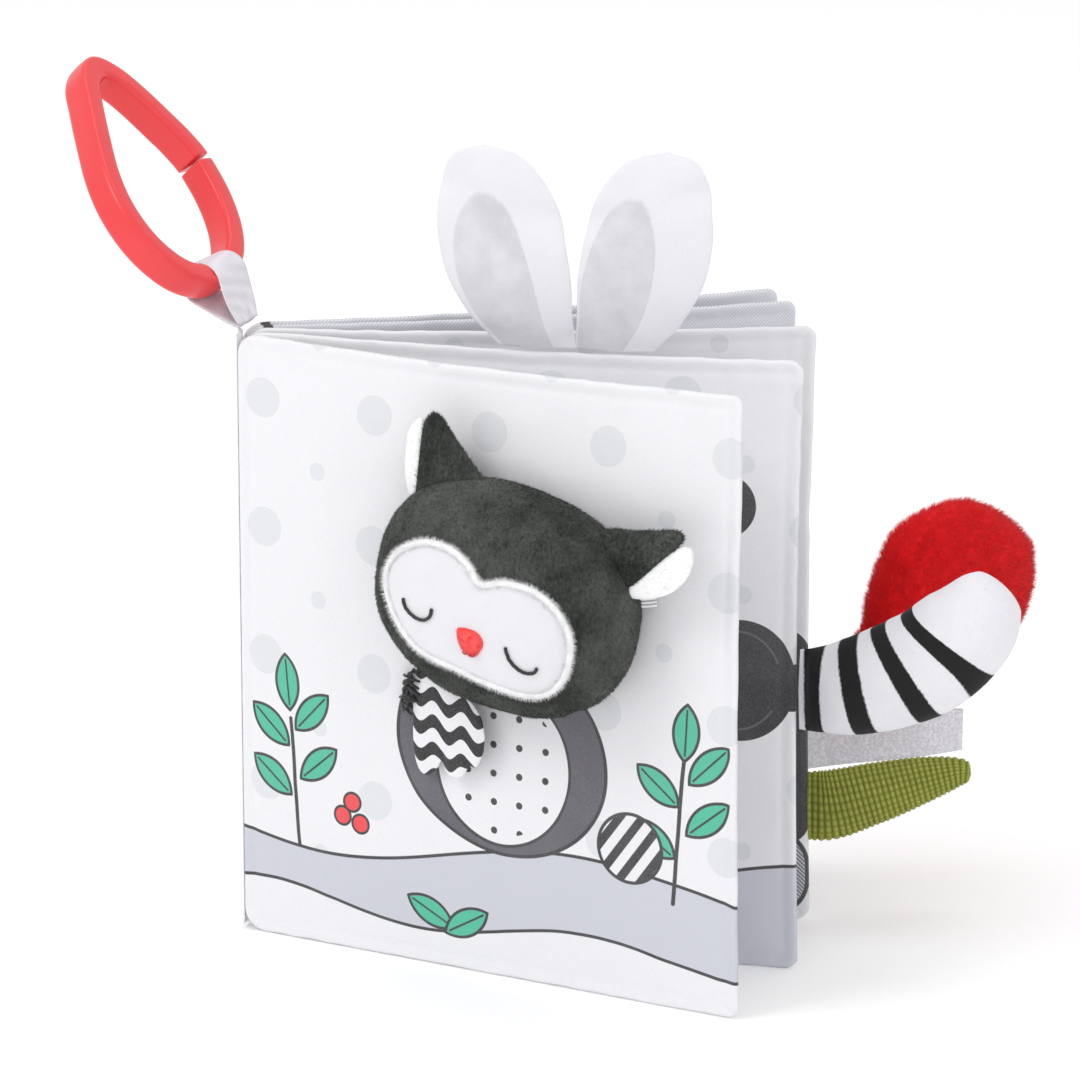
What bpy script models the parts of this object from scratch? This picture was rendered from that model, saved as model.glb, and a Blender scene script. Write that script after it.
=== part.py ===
"""Crinkle cloth book for a baby, standing fanned open on the bottom edges of its leaves.

Five stuffed cloth leaves are sewn side by side into one spine. Each leaf is two cloth panels round
a crinkle film and a sheet of wadding. A plush head and a wing flap sit on the front cover, two
floppy ears on top of leaf 2, and stuffed tails and a satin flap on the free edges. A satin ribbon
at the top of the spine holds a split plastic ring.

Frame: +Z up, the front cover along +X and facing -Y, the origin on the floor at the foot of the
middle leaf's spine edge. A leaf's own frame has u along the leaf from the spine, n across it
towards the back of the book, and z up.
"""
import math

import bmesh
import bpy
from mathutils import Matrix, Vector

MM = 0.001

# Cloth and the gaps between pieces
FABRIC = 0.7 * MM
CLEAR = 0.3 * MM
ROOT_CLEAR = 0.5 * MM
CUT_OVERRUN = 6.0 * MM

# Leaves
LEAF_WIDTH = 147.0 * MM
LEAF_HEIGHT = 160.0 * MM
LEAF_CROWN = 1.9 * MM
HEM = 4.0 * MM
DRAW_IN = 1.2 * MM
SPINE_RISE = 50.0 * MM
EDGE_RISE = 30.0 * MM
PAD_INSET = 20.0 * MM
FILM = 0.25 * MM
PAD_LINE_SHARES = (0.0, 0.25, 0.5, 0.75, 1.0)

# Spine: leaves lie this far apart, each hinge a little behind the hems
LEAF_PITCH = 2.8 * MM
PIVOT_BACK = 0.6 * MM
PLEAT_CLOTH = 0.4 * MM
PLEAT_DEPTH = 1.4 * MM
PLEAT_MARGIN = 1.0 * MM
PLEAT_STEPS = 8

# How far each pair of leaves stands open, in degrees, from the front cover to the back cover
FAN_COVER = 15.6
FAN_LEAF_2 = 15.3
FAN_LEAF_4 = 11.6
FAN_BACK = 5.2

# Plush head on the front cover
HEAD_WIDTH = 72.0 * MM
HEAD_HEIGHT = 56.5 * MM
HEAD_DEPTH = 29.0 * MM
HEAD_ALONG = 87.4 * MM
HEAD_UP = 104.5 * MM
HEAD_TILT = 12.0
HEAD_SIDES = 32
HEAD_SQUARENESS = 2.3
DOME_SHARES = ((0.0, 0.90), (0.14, 0.975), (0.32, 1.0), (0.52, 0.965), (0.70, 0.87),
               (0.84, 0.70), (0.94, 0.47), (0.99, 0.22))
PATCH_FLEECE = 1.6 * MM
PATCH_FOOT_SHARE = 0.16
PATCH_OUTLINE_SHARES = ((-0.74, 0.09), (-0.73, 0.30), (-0.61, 0.48), (-0.38, 0.59), (-0.16, 0.57),
                        (0.0, 0.46), (0.11, 0.31), (0.29, 0.34), (0.50, 0.29), (0.66, 0.15),
                        (0.75, -0.07), (0.755, -0.29), (0.69, -0.53), (0.56, -0.69), (0.40, -0.72),
                        (0.17, -0.655), (-0.10, -0.545), (-0.405, -0.44), (-0.60, -0.23))
PATCH_STEPS = 2
NOSE_WIDTH = 8.4 * MM
NOSE_HEIGHT = 8.6 * MM
NOSE_DEPTH = 7.0 * MM
NOSE_ALONG = 89.0 * MM
NOSE_UP = 97.8 * MM
LEFT_EAR_WIDTH = 24.0 * MM
RIGHT_EAR_WIDTH = 20.0 * MM
HEAD_EAR_LENGTH = 20.0 * MM
HEAD_EAR_THICK = 5.0 * MM
HEAD_EAR_SHARES = ((-0.60, 0.50, 0.50), (0.0, 0.50, 0.50), (0.35, 0.42, 0.46), (0.70, 0.25, 0.36),
                   (0.92, 0.11, 0.24), (1.0, 0.04, 0.12))
LEFT_EAR_BASE = (70.8 * MM, 129.0 * MM)
LEFT_EAR_LEAN = 103.0
RIGHT_EAR_BASE = (118.0 * MM, 118.5 * MM)
RIGHT_EAR_LEAN = 17.0

# Wing flap below the head
WING_THICK = 2.2 * MM
WING_LEFT = 54.8 * MM
WING_RIGHT = 77.6 * MM
WING_TOP = 79.0 * MM
WING_BOTTOM = 53.0 * MM
WING_OUTLINE_SHARES = ((0.0, 1.0), (0.0, 0.50), (0.05, 0.24), (0.14, 0.06), (0.24, 0.0), (0.36, 0.05),
                       (0.44, 0.17), (0.52, 0.04), (0.62, 0.0), (0.72, 0.05), (0.79, 0.18),
                       (0.88, 0.10), (0.97, 0.22), (1.0, 0.42), (0.95, 0.62), (0.84, 0.77),
                       (0.62, 0.86))

# Floppy ears on leaf 2
EAR_HEIGHT = 51.5 * MM
EAR_WIDTH = 33.0 * MM
EAR_THICK = 4.4 * MM
EAR_SIDES = 16
LEFT_FLOPPY_ALONG = 77.0 * MM
RIGHT_FLOPPY_ALONG = 99.0 * MM
EAR_SHARES = ((0.0, 0.0, 0.27), (0.07, -0.05, 0.34), (0.16, -0.12, 0.41), (0.35, -0.20, 0.49),
              (0.55, -0.26, 0.49), (0.72, -0.30, 0.42), (0.87, -0.37, 0.25), (0.97, -0.43, 0.10),
              (1.0, -0.45, 0.03))
EAR_FILL_SHARES = (0.16, 0.55, 0.85, 1.0, 1.0, 0.9, 0.7, 0.45, 0.2)

# Stuffed tails and the satin flap: root half thickness, then each one's reach, rise and fullness
ROOT_HALF = 0.35 * MM
TAIL_SIDES = 16
STRIPED_UP = 74.5 * MM
STRIPED_REACH = 53.0 * MM
STRIPED_RISE = 30.0 * MM
STRIPED_WIDTH = 28.0 * MM
STRIPED_DEPTH = 25.0 * MM
STRIPED_PATH_SHARES = ((0.0, 0.0), (0.12, 0.01), (0.30, 0.08), (0.60, 0.30), (0.82, 0.58), (0.94, 0.84),
                       (1.0, 1.0))
STRIPED_WIDTH_SHARES = (0.37, 0.40, 0.45, 0.51, 0.50, 0.37, 0.12)
STRIPED_DEPTH_SHARES = (None, 0.30, 0.44, 0.50, 0.50, 0.38, 0.12)
RED_UP = 58.0 * MM
RED_REACH = 56.5 * MM
RED_RISE = 40.0 * MM
RED_WIDTH = 43.0 * MM
RED_DEPTH = 24.0 * MM
RED_PATH_SHARES = ((0.0, 0.0), (0.14, -0.008), (0.28, 0.04), (0.46, 0.13), (0.60, 0.28), (0.71, 0.45),
                   (0.80, 0.615), (0.885, 0.775), (0.956, 0.91), (1.0, 1.0))
RED_WIDTH_SHARES = (0.163, 0.17, 0.235, 0.335, 0.43, 0.495, 0.485, 0.395, 0.235, 0.06)
RED_DEPTH_SHARES = (None, 0.28, 0.38, 0.45, 0.50, 0.50, 0.46, 0.38, 0.25, 0.10)
GREEN_UP = 31.0 * MM
GREEN_REACH = 42.0 * MM
GREEN_RISE = 9.0 * MM
GREEN_WIDTH = 19.6 * MM
GREEN_DEPTH = 11.0 * MM
GREEN_PATH_SHARES = ((0.0, 0.0), (0.14, 0.05), (0.40, 0.38), (0.70, 0.78), (0.90, 1.0), (1.0, 1.0))
GREEN_WIDTH_SHARES = (0.49, 0.48, 0.42, 0.31, 0.17, 0.05)
GREEN_DEPTH_SHARES = (None, 0.34, 0.50, 0.45, 0.32, 0.12)
SATIN_UP = 40.5 * MM
SATIN_LENGTH = 48.0 * MM
SATIN_ROOT_WIDTH = 19.5 * MM
SATIN_END_WIDTH = 11.4 * MM
SATIN_RISE_SHARE = -0.02
SATIN_WAVE = 1.0 * MM
SATIN_STEPS = 8

# Ribbon loop and split ring at the top of the spine
RIBBON_WIDTH = 10.0 * MM
RIBBON_CLOTH = 0.7 * MM
RIBBON_ALONG = 1.0 * MM
RIBBON_ACROSS = -0.6 * MM
EYE_HEIGHT = 14.5 * MM
EYE_RADIUS = 5.7 * MM
EYE_STEPS = 16
RIBBON_TURN = 3.2
RIBBON_LEAN = 42.0
RIBBON_SWING = 25.0
RING_LONG = 65.0 * MM
RING_PATH_SHARES = ((0.41, 0.485), (0.40, 0.59), (0.37, 0.69), (0.32, 0.83), (0.27, 0.93), (0.19, 0.985),
                    (0.09, 0.945), (0.0, 0.855), (-0.12, 0.71), (-0.235, 0.54), (-0.295, 0.385),
                    (-0.30, 0.23), (-0.245, 0.10), (-0.145, 0.023), (0.0, 0.0), (0.16, 0.057),
                    (0.285, 0.17), (0.37, 0.32))
RING_PATH_STEPS = 4
RING_AXIAL = 8.6 * MM
RING_RADIAL = 6.0 * MM
RING_BEVEL = 1.5 * MM
RING_GAP = 1.6 * MM

SEAM_HALF = CLEAR / 2 + FABRIC
COVER_FACE = SEAM_HALF + LEAF_CROWN


def clear_scene():
    """Remove whatever the file holds, so that the part is built from nothing."""
    for old in list(bpy.data.objects):
        bpy.data.objects.remove(old, do_unlink=True)


def finish(name, color, roughness, metallic=0.0):
    """Return a plain material of the given colour."""
    made = bpy.data.materials.new(name)
    made.use_nodes = True
    shader = made.node_tree.nodes["Principled BSDF"]
    shader.inputs["Base Color"].default_value = (*color, 1.0)
    shader.inputs["Roughness"].default_value = roughness
    shader.inputs["Metallic"].default_value = metallic
    made.diffuse_color = (*color, 1.0)
    return made


def frame(name, parent, location, turn=0.0):
    """Return an empty turned about +Z by some degrees, which carries a moving piece."""
    empty = bpy.data.objects.new(name, None)
    empty.empty_display_size = HEM
    bpy.context.scene.collection.objects.link(empty)
    empty.parent = parent
    empty.location = location
    empty.rotation_euler = (0.0, 0.0, math.radians(turn))
    return empty


def solid(name, verts, faces, parent, material, location=(0.0, 0.0, 0.0), smooth=True):
    """Return an object of one closed body with its faces pointing out."""
    mesh = bpy.data.meshes.new(name)
    mesh.from_pydata([tuple(v) for v in verts], [], faces)
    work = bmesh.new()
    work.from_mesh(mesh)
    bmesh.ops.recalc_face_normals(work, faces=work.faces)
    work.to_mesh(mesh)
    work.free()
    if smooth:
        mesh.shade_smooth()
        mesh.set_sharp_from_angle(angle=math.radians(40.0))
    mesh.materials.append(material)
    made = bpy.data.objects.new(name, mesh)
    bpy.context.scene.collection.objects.link(made)
    made.parent = parent
    made.location = location
    return made


def boolean(target, cutter, operation):
    """Add an exact Boolean of the target with a hidden cutter."""
    cutter.hide_render = True
    cutter.display_type = "WIRE"
    cut = target.modifiers.new(cutter.name, "BOOLEAN")
    cut.operation = operation
    cut.solver = "EXACT"
    cut.object = cutter


def grid_body(front, back):
    """Return vertices and faces of a closed body between two equal grids of points."""
    rows = len(front)
    cols = len(front[0])
    base = rows * cols
    verts = [p for row in front for p in row] + [p for row in back for p in row]
    faces = []
    for r in range(rows - 1):
        for c in range(cols - 1):
            a = r * cols + c
            b = a + cols
            faces.append((a, a + 1, b + 1, b))
            faces.append((base + a, base + b, base + b + 1, base + a + 1))
    rim = [(0, c) for c in range(cols)]
    rim += [(r, cols - 1) for r in range(1, rows)]
    rim += [(rows - 1, c) for c in range(cols - 2, -1, -1)]
    rim += [(r, 0) for r in range(rows - 2, 0, -1)]
    ids = [r * cols + c for r, c in rim]
    for a, b in zip(ids, ids[1:] + ids[:1]):
        faces.append((b, a, base + a, base + b))
    return verts, faces


def loft_body(rings):
    """Return vertices and faces of a closed body through rings of equal count."""
    count = len(rings[0])
    verts = [p for ring in rings for p in ring]
    faces = [tuple(range(count))[::-1]]
    for r in range(len(rings) - 1):
        for k in range(count):
            a = r * count + k
            b = r * count + (k + 1) % count
            faces.append((a, b, b + count, a + count))
    last = (len(rings) - 1) * count
    faces.append(tuple(range(last, last + count)))
    return verts, faces


def prism_body(outline, axis, low, high):
    """Return a closed body: a flat outline of (a, b) points drawn along y or z."""
    def place(a, b, c):
        return (a, c, b) if axis == "y" else (a, b, c)
    return loft_body([[place(a, b, low) for a, b in outline], [place(a, b, high) for a, b in outline]])


def ease(distance, reach):
    """Return 0 at a seam, rising smoothly to 1 at the reach."""
    return math.sin(math.pi / 2 * max(0.0, min(1.0, distance / reach)))


def leaf_crown(u, z):
    """Return how far a leaf's cloth stands out of its seam plane at a place."""
    across = min(ease(u - HEM, SPINE_RISE), ease(LEAF_WIDTH - HEM - u, EDGE_RISE))
    upright = min(ease(z - HEM, EDGE_RISE), ease(LEAF_HEIGHT - HEM - z, EDGE_RISE))
    return LEAF_CROWN * across * upright


def edge_u(z):
    """Return where the leaf's free edge is, drawn in between its corners."""
    return LEAF_WIDTH - DRAW_IN * math.sin(math.pi * z / LEAF_HEIGHT)


def top_z(u):
    """Return where the leaf's top edge is, drawn in between its corners."""
    return LEAF_HEIGHT - DRAW_IN * math.sin(math.pi * u / LEAF_WIDTH)


def leaf_lines(size):
    """Return the grid lines of a leaf along one side: hems, the pad's rim and lines between."""
    low = HEM + PAD_INSET
    high = size - low
    inner = [low + (high - low) * share for share in PAD_LINE_SHARES]
    return [0.0, HEM] + inner + [size - HEM, size]


def leaf_place(u, z):
    """Return a nominal place on the leaf after its sides are drawn in and its corners rounded."""
    corner = HEM * (1 - math.sqrt(0.5))
    at_edge = math.isclose(u, LEAF_WIDTH)
    at_top = math.isclose(z, LEAF_HEIGHT)
    if at_edge and (at_top or z == 0.0):
        u -= corner
        z += corner if z == 0.0 else -corner
    return u * edge_u(z) / LEAF_WIDTH, z * top_z(u) / LEAF_HEIGHT


def leaf_grid(us, zs, height):
    """Return a grid of leaf points whose n is height(crown)."""
    grid = []
    for z in zs:
        row = []
        for u in us:
            x, y = leaf_place(u, z)
            row.append((x, height(leaf_crown(u, z)), y))
        grid.append(row)
    return grid


def build_leaf(name, parent, cloth, film, wadding):
    """Make one leaf: front and back panels, crinkle film and wadding between them."""
    us = leaf_lines(LEAF_WIDTH)
    zs = leaf_lines(LEAF_HEIGHT)
    for label, side in (("front", -1), ("back", 1)):
        outer = leaf_grid(us, zs, lambda c: side * (SEAM_HALF + c))
        inner = leaf_grid(us, zs, lambda c: side * (CLEAR / 2 + c))
        solid(f"{name}_{label}_panel", *grid_body(outer, inner), parent, cloth)
    pad_us = us[2:-2]
    pad_zs = zs[2:-2]
    faces = [
        (f"{name}_crinkle_film", film,
         lambda c: CLEAR / 2 - c, lambda c: CLEAR / 2 - c + FILM),
        (f"{name}_wadding", wadding,
         lambda c: CLEAR / 2 - c + FILM + CLEAR, lambda c: c - CLEAR / 2),
    ]
    for label, material, low, high in faces:
        solid(label, *grid_body(leaf_grid(pad_us, pad_zs, low), leaf_grid(pad_us, pad_zs, high)),
              parent, material)


def build_pleat(name, parent, side, fan, cloth):
    """Make the fold of spine cloth behind two leaves, on the pivot between them."""
    start = PIVOT_BACK - CLEAR - PLEAT_CLOTH / 2
    half = LEAF_PITCH / 2 - PLEAT_CLOTH / 2 - CLEAR / 2
    outer = []
    inner = []
    for k in range(PLEAT_STEPS + 1):
        a = math.pi * (k / PLEAT_STEPS - 0.5)
        grow = PLEAT_CLOTH / 2
        outer.append((start - (PLEAT_DEPTH + grow) * math.cos(a), (half + grow) * math.sin(a)))
        inner.append((start - (PLEAT_DEPTH - grow) * math.cos(a), (half - grow) * math.sin(a)))
    body = prism_body(outer + inner[::-1], "z", PLEAT_MARGIN, LEAF_HEIGHT - PLEAT_MARGIN)
    pivot = (-PIVOT_BACK, side * LEAF_PITCH / 2, 0.0)
    fold = frame(f"{name}_fold", parent, pivot, side * fan / 2)
    solid(name, *body, fold, cloth)


def dome_rings(grow):
    """Return the head's rings, all its sizes grown by the same distance."""
    wide = HEAD_WIDTH / 2 + grow
    tall = HEAD_HEIGHT / 2 + grow
    deep = HEAD_DEPTH + grow
    tilt = math.radians(HEAD_TILT)
    rings = []
    power = 2 / HEAD_SQUARENESS
    for depth, reach in DOME_SHARES:
        ring = []
        for k in range(HEAD_SIDES):
            a = 2 * math.pi * k / HEAD_SIDES
            x = math.copysign(abs(math.cos(a)) ** power, math.cos(a))
            z = math.copysign(abs(math.sin(a)) ** power, math.sin(a))
            across = wide * reach * x
            up = tall * reach * z
            ring.append((across * math.cos(tilt) + up * math.sin(tilt), -deep * depth,
                         up * math.cos(tilt) - across * math.sin(tilt)))
        rings.append(ring)
    return rings


def dome_depth(x, z):
    """Return how deep the head is at a place given from its centre."""
    tilt = math.radians(HEAD_TILT)
    wide = abs(x * math.cos(tilt) - z * math.sin(tilt)) / (HEAD_WIDTH / 2)
    tall = abs(x * math.sin(tilt) + z * math.cos(tilt)) / (HEAD_HEIGHT / 2)
    reach = (wide ** HEAD_SQUARENESS + tall ** HEAD_SQUARENESS) ** (1 / HEAD_SQUARENESS)
    table = [(share, depth) for depth, share in DOME_SHARES if depth >= DOME_SHARES[2][0]][::-1]
    table = [(0.0, 1.0)] + table
    for (r0, d0), (r1, d1) in zip(table, table[1:]):
        if reach <= r1:
            return HEAD_DEPTH * (d0 + (d1 - d0) * (reach - r0) / (r1 - r0))
    return HEAD_DEPTH * table[-1][1]


def dome_cutter(name, parent, location, grow, material):
    """Return the head's form grown by a distance, as a hidden cutter that starts below its base."""
    rings = dome_rings(grow)
    rings.insert(0, [(x, CUT_OVERRUN, z) for x, _, z in rings[0]])
    made = solid(name, *loft_body(rings), parent, material, location)
    made.hide_render = True
    made.display_type = "WIRE"
    return made


def smooth_loop(points, steps):
    """Return a closed smooth loop through points, with a few steps from one to the next."""
    count = len(points)
    loop = []
    for k in range(count):
        p0, p1, p2, p3 = (Vector(points[(k + j) % count]) for j in (-1, 0, 1, 2))
        for s in range(steps):
            t = s / steps
            p = 0.5 * (2 * p1 + (p2 - p0) * t + (2 * p0 - 5 * p1 + 4 * p2 - p3) * t * t
                       + (3 * p1 - p0 - 3 * p2 + p3) * t ** 3)
            loop.append((p.x, p.y))
    return loop


def build_head(parent, looks):
    """Make the plush head with its fleece face patch, nose and two ears."""
    seat = (HEAD_ALONG, -(COVER_FACE + CLEAR), HEAD_UP)
    solid("plush_head", *loft_body(dome_rings(0.0)), parent, looks["plush"], seat)

    patch = solid("face_patch", *loft_body(dome_rings(CLEAR + PATCH_FLEECE)), parent,
                  looks["fleece"], seat)
    shape = [(x * HEAD_WIDTH / 2, z * HEAD_HEIGHT / 2) for x, z in PATCH_OUTLINE_SHARES]
    outline = smooth_loop(shape, PATCH_STEPS)
    stamp = solid("patch_outline", *prism_body(outline, "y", -HEAD_DEPTH - CUT_OVERRUN,
                                               -HEAD_DEPTH * PATCH_FOOT_SHARE),
                  parent, looks["fleece"], seat, smooth=False)
    boolean(patch, stamp, "INTERSECT")
    boolean(patch, dome_cutter("patch_bed", parent, seat, CLEAR, looks["fleece"]), "DIFFERENCE")

    over_patch = 2 * CLEAR + PATCH_FLEECE
    bed = dome_cutter("nose_bed", parent, seat, over_patch, looks["nose"])
    x = NOSE_ALONG - HEAD_ALONG
    z = NOSE_UP - HEAD_UP
    depth = dome_depth(x, z) + over_patch
    rings = []
    for k in range(1, TAIL_SIDES // 2):
        a = math.pi * k / (TAIL_SIDES // 2)
        ring = []
        for j in range(TAIL_SIDES):
            b = 2 * math.pi * j / TAIL_SIDES
            ring.append((NOSE_WIDTH / 2 * math.sin(a) * math.cos(b), NOSE_DEPTH / 2 * math.cos(a),
                         NOSE_HEIGHT / 2 * math.sin(a) * math.sin(b)))
        rings.append(ring)
    nose = solid("nose", *loft_body(rings), parent, looks["nose"],
                 (NOSE_ALONG, seat[1] - depth, NOSE_UP))
    boolean(nose, bed, "DIFFERENCE")

    head_bed = dome_cutter("head_ear_bed", parent, seat, CLEAR, looks["plush"])
    for name, base, lean, width in (
            ("left_head_ear", LEFT_EAR_BASE, LEFT_EAR_LEAN, LEFT_EAR_WIDTH),
            ("right_head_ear", RIGHT_EAR_BASE, RIGHT_EAR_LEAN, RIGHT_EAR_WIDTH)):
        along = Vector((math.cos(math.radians(lean)), 0.0, math.sin(math.radians(lean))))
        side = Vector((-along.z, 0.0, along.x))
        rings = []
        for share, wide, thick in HEAD_EAR_SHARES:
            ring = []
            for k in range(EAR_SIDES):
                a = 2 * math.pi * k / EAR_SIDES
                point = along * HEAD_EAR_LENGTH * share + side * width * wide * math.cos(a)
                point.y += HEAD_EAR_THICK * thick * math.sin(a)
                ring.append(tuple(point))
            rings.append(ring)
        place = (base[0], seat[1] - HEAD_DEPTH * DOME_SHARES[2][0], base[1])
        ear = solid(name, *loft_body(rings), parent, looks["plush"], place)
        boolean(ear, head_bed, "DIFFERENCE")


def build_wing(parent, looks):
    """Make the wing flap with its scalloped end, on a hinge along its stitched side."""
    hinge = frame("wing_hinge", parent, (WING_LEFT, -(COVER_FACE + CLEAR), 0.0))
    wide = WING_RIGHT - WING_LEFT
    tall = WING_TOP - WING_BOTTOM
    outline = [(u * wide, WING_BOTTOM + z * tall) for u, z in WING_OUTLINE_SHARES]
    solid("wing_flap", *prism_body(outline, "y", -WING_THICK, 0.0), hinge, looks["striped"],
          smooth=False)


def build_floppy_ear(name, parent, along, mirror, looks):
    """Make one floppy ear on a leaf's top edge, leaning away from the other."""
    top = top_z(along) + ROOT_CLEAR
    hinge = frame(f"{name}_hinge", parent, (along, 0.0, top))
    rings = []
    for (up, shift, half), fill in zip(EAR_SHARES, EAR_FILL_SHARES):
        ring = []
        for k in range(EAR_SIDES):
            a = 2 * math.pi * k / EAR_SIDES
            ring.append((mirror * EAR_WIDTH * shift + EAR_WIDTH * half * math.cos(a),
                         EAR_THICK / 2 * fill * math.sin(a), EAR_HEIGHT * up))
        rings.append(ring)
    solid(name, *loft_body(rings), hinge, looks["ear"])


def build_tail(name, parent, up, reach, rise, size, shares, material):
    """Make a stuffed tail on a leaf's free edge, flat at its root and full at its end."""
    hinge = frame(f"{name}_hinge", parent, (edge_u(up) + ROOT_CLEAR, 0.0, up))
    path_shares, width_shares, depth_shares = shares
    path = [Vector((reach * a, rise * b)) for a, b in path_shares]
    width, depth = size
    rings = []
    for k, place in enumerate(path):
        before = path[max(k - 1, 0)]
        after = path[min(k + 1, len(path) - 1)]
        run = Vector((1.0, 0.0)) if k == 0 else (after - before).normalized()
        wide = width * width_shares[k]
        deep = ROOT_HALF if depth_shares[k] is None else depth * depth_shares[k]
        ring = []
        for j in range(TAIL_SIDES):
            a = 2 * math.pi * j / TAIL_SIDES
            ring.append((place.x - run.y * wide * math.cos(a), deep * math.sin(a),
                         place.y + run.x * wide * math.cos(a)))
        rings.append(ring)
    solid(name, *loft_body(rings), hinge, material)


def build_satin_flap(parent, looks):
    """Make the flat satin flap, a tapering strip with a slight wave."""
    hinge = frame("satin_flap_hinge", parent, (edge_u(SATIN_UP) + ROOT_CLEAR, 0.0, SATIN_UP))
    grids = []
    for side in (-1, 1):
        grid = []
        for k in range(SATIN_STEPS + 1):
            share = k / SATIN_STEPS
            half = (SATIN_ROOT_WIDTH + (SATIN_END_WIDTH - SATIN_ROOT_WIDTH) * share) / 2
            wave = SATIN_WAVE * math.sin(2 * math.pi * share)
            x = SATIN_LENGTH * share
            mid = SATIN_LENGTH * SATIN_RISE_SHARE * share
            grid.append([(x, wave + side * ROOT_HALF, mid + half * s) for s in (-1, 0, 1)])
        grids.append(grid)
    solid("satin_flap", *grid_body(*grids), hinge, looks["satin"])


def loop_path():
    """Return the ribbon's path: up from its foot, over the ring's bar and down again."""
    radius = EYE_RADIUS + RIBBON_CLOTH / 2
    touch = math.acos(radius / EYE_HEIGHT)
    foot = RIBBON_CLOTH / 2 + CLEAR / 2
    path = [Vector((foot, 0.0))]
    for k in range(EYE_STEPS + 1):
        a = -math.pi / 2 + touch + (2 * math.pi - 2 * touch) * k / EYE_STEPS
        path.append(Vector((radius * math.cos(a), EYE_HEIGHT + radius * math.sin(a))))
    path.append(Vector((-foot, 0.0)))
    return path


def strip_outline(path, thick):
    """Return the closed outline of a strip of one thickness along a path."""
    left = []
    right = []
    for k, place in enumerate(path):
        before = path[max(k - 1, 0)]
        after = path[min(k + 1, len(path) - 1)]
        run = (after - before).normalized()
        side = Vector((-run.y, run.x)) * thick / 2
        left.append(tuple(place + side))
        right.append(tuple(place - side))
    return left + right[::-1]


def build_ribbon(parent, looks):
    """Make the ribbon loop on the spine's top, and return the frame at its eye."""
    low_corner = (RIBBON_CLOTH + CLEAR / 2) * math.sin(math.radians(RIBBON_LEAN + RIBBON_SWING))
    foot_z = LEAF_HEIGHT + CLEAR + low_corner
    hinge = frame("ribbon_hinge", parent, (RIBBON_ALONG, RIBBON_ACROSS, foot_z))
    turn = Matrix.Rotation(math.radians(RIBBON_TURN - FAN_COVER - FAN_LEAF_2), 3, "Z")
    lean = Matrix.Rotation(math.radians(-RIBBON_LEAN), 3, "Y")
    hinge.rotation_euler = (turn @ lean).to_euler()
    outline = strip_outline(loop_path(), RIBBON_CLOTH)
    solid("hang_ribbon", *prism_body(outline, "y", -RIBBON_WIDTH / 2, RIBBON_WIDTH / 2), hinge,
          looks["ribbon"])
    return frame("ring_hinge", hinge, (0.0, 0.0, EYE_HEIGHT))


def ring_path():
    """Return the ring's bar from one side of its gap round to the other: places and ways out."""
    loop = [Vector(place) * RING_LONG for place in smooth_loop(RING_PATH_SHARES, RING_PATH_STEPS)]
    count = len(loop)
    path = []
    for k in range(count + 1):
        run = (loop[(k + 1) % count] - loop[(k - 1) % count]).normalized()
        place = loop[k % count]
        if k == 0:
            place = place + run * RING_GAP / 2
        if k == count:
            place = place - run * RING_GAP / 2
        path.append((place, Vector((run.y, -run.x))))
    return path


def build_ring(parent, looks):
    """Make the split ring as a bevelled band swept round its path, its bar in the ribbon's eye."""
    half_a = RING_AXIAL / 2
    half_r = RING_RADIAL / 2
    cut = RING_BEVEL
    section = [(half_r, half_a - cut), (half_r, cut - half_a), (half_r - cut, -half_a),
               (cut - half_r, -half_a), (-half_r, cut - half_a), (-half_r, half_a - cut),
               (cut - half_r, half_a), (half_r - cut, half_a)]
    rings = []
    for place, out in ring_path():
        ring = []
        for radial, axial in section:
            flat = place + out * radial
            ring.append((axial, flat.x, flat.y))
        rings.append(ring)
    solid("link_ring", *loft_body(rings), parent, looks["ring"])


def make_looks():
    """Return every material by name."""
    return {
        "cloth": finish("book cloth", (0.90, 0.90, 0.93), 0.8),
        "film": finish("crinkle film", (0.80, 0.84, 0.88), 0.25),
        "wadding": finish("wadding", (0.88, 0.88, 0.86), 0.95),
        "spine": finish("spine cloth", (0.86, 0.86, 0.90), 0.8),
        "plush": finish("dark plush", (0.068, 0.075, 0.068), 0.95),
        "fleece": finish("white fleece", (0.88, 0.88, 0.88), 0.95),
        "nose": finish("coral fleece", (0.90, 0.09, 0.09), 0.85),
        "striped": finish("striped cloth", (0.30, 0.30, 0.31), 0.8),
        "ear": finish("ear cloth", (0.82, 0.82, 0.84), 0.8),
        "tail": finish("striped plush", (0.50, 0.50, 0.50), 0.95),
        "red": finish("red fur", (0.62, 0.01, 0.012), 0.95),
        "green": finish("green chenille", (0.22, 0.30, 0.03), 0.9),
        "satin": finish("grey satin", (0.50, 0.50, 0.56), 0.4),
        "ribbon": finish("ribbon satin", (0.76, 0.70, 0.79), 0.4),
        "ring": finish("red plastic", (0.76, 0.035, 0.040), 0.35),
    }


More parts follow.
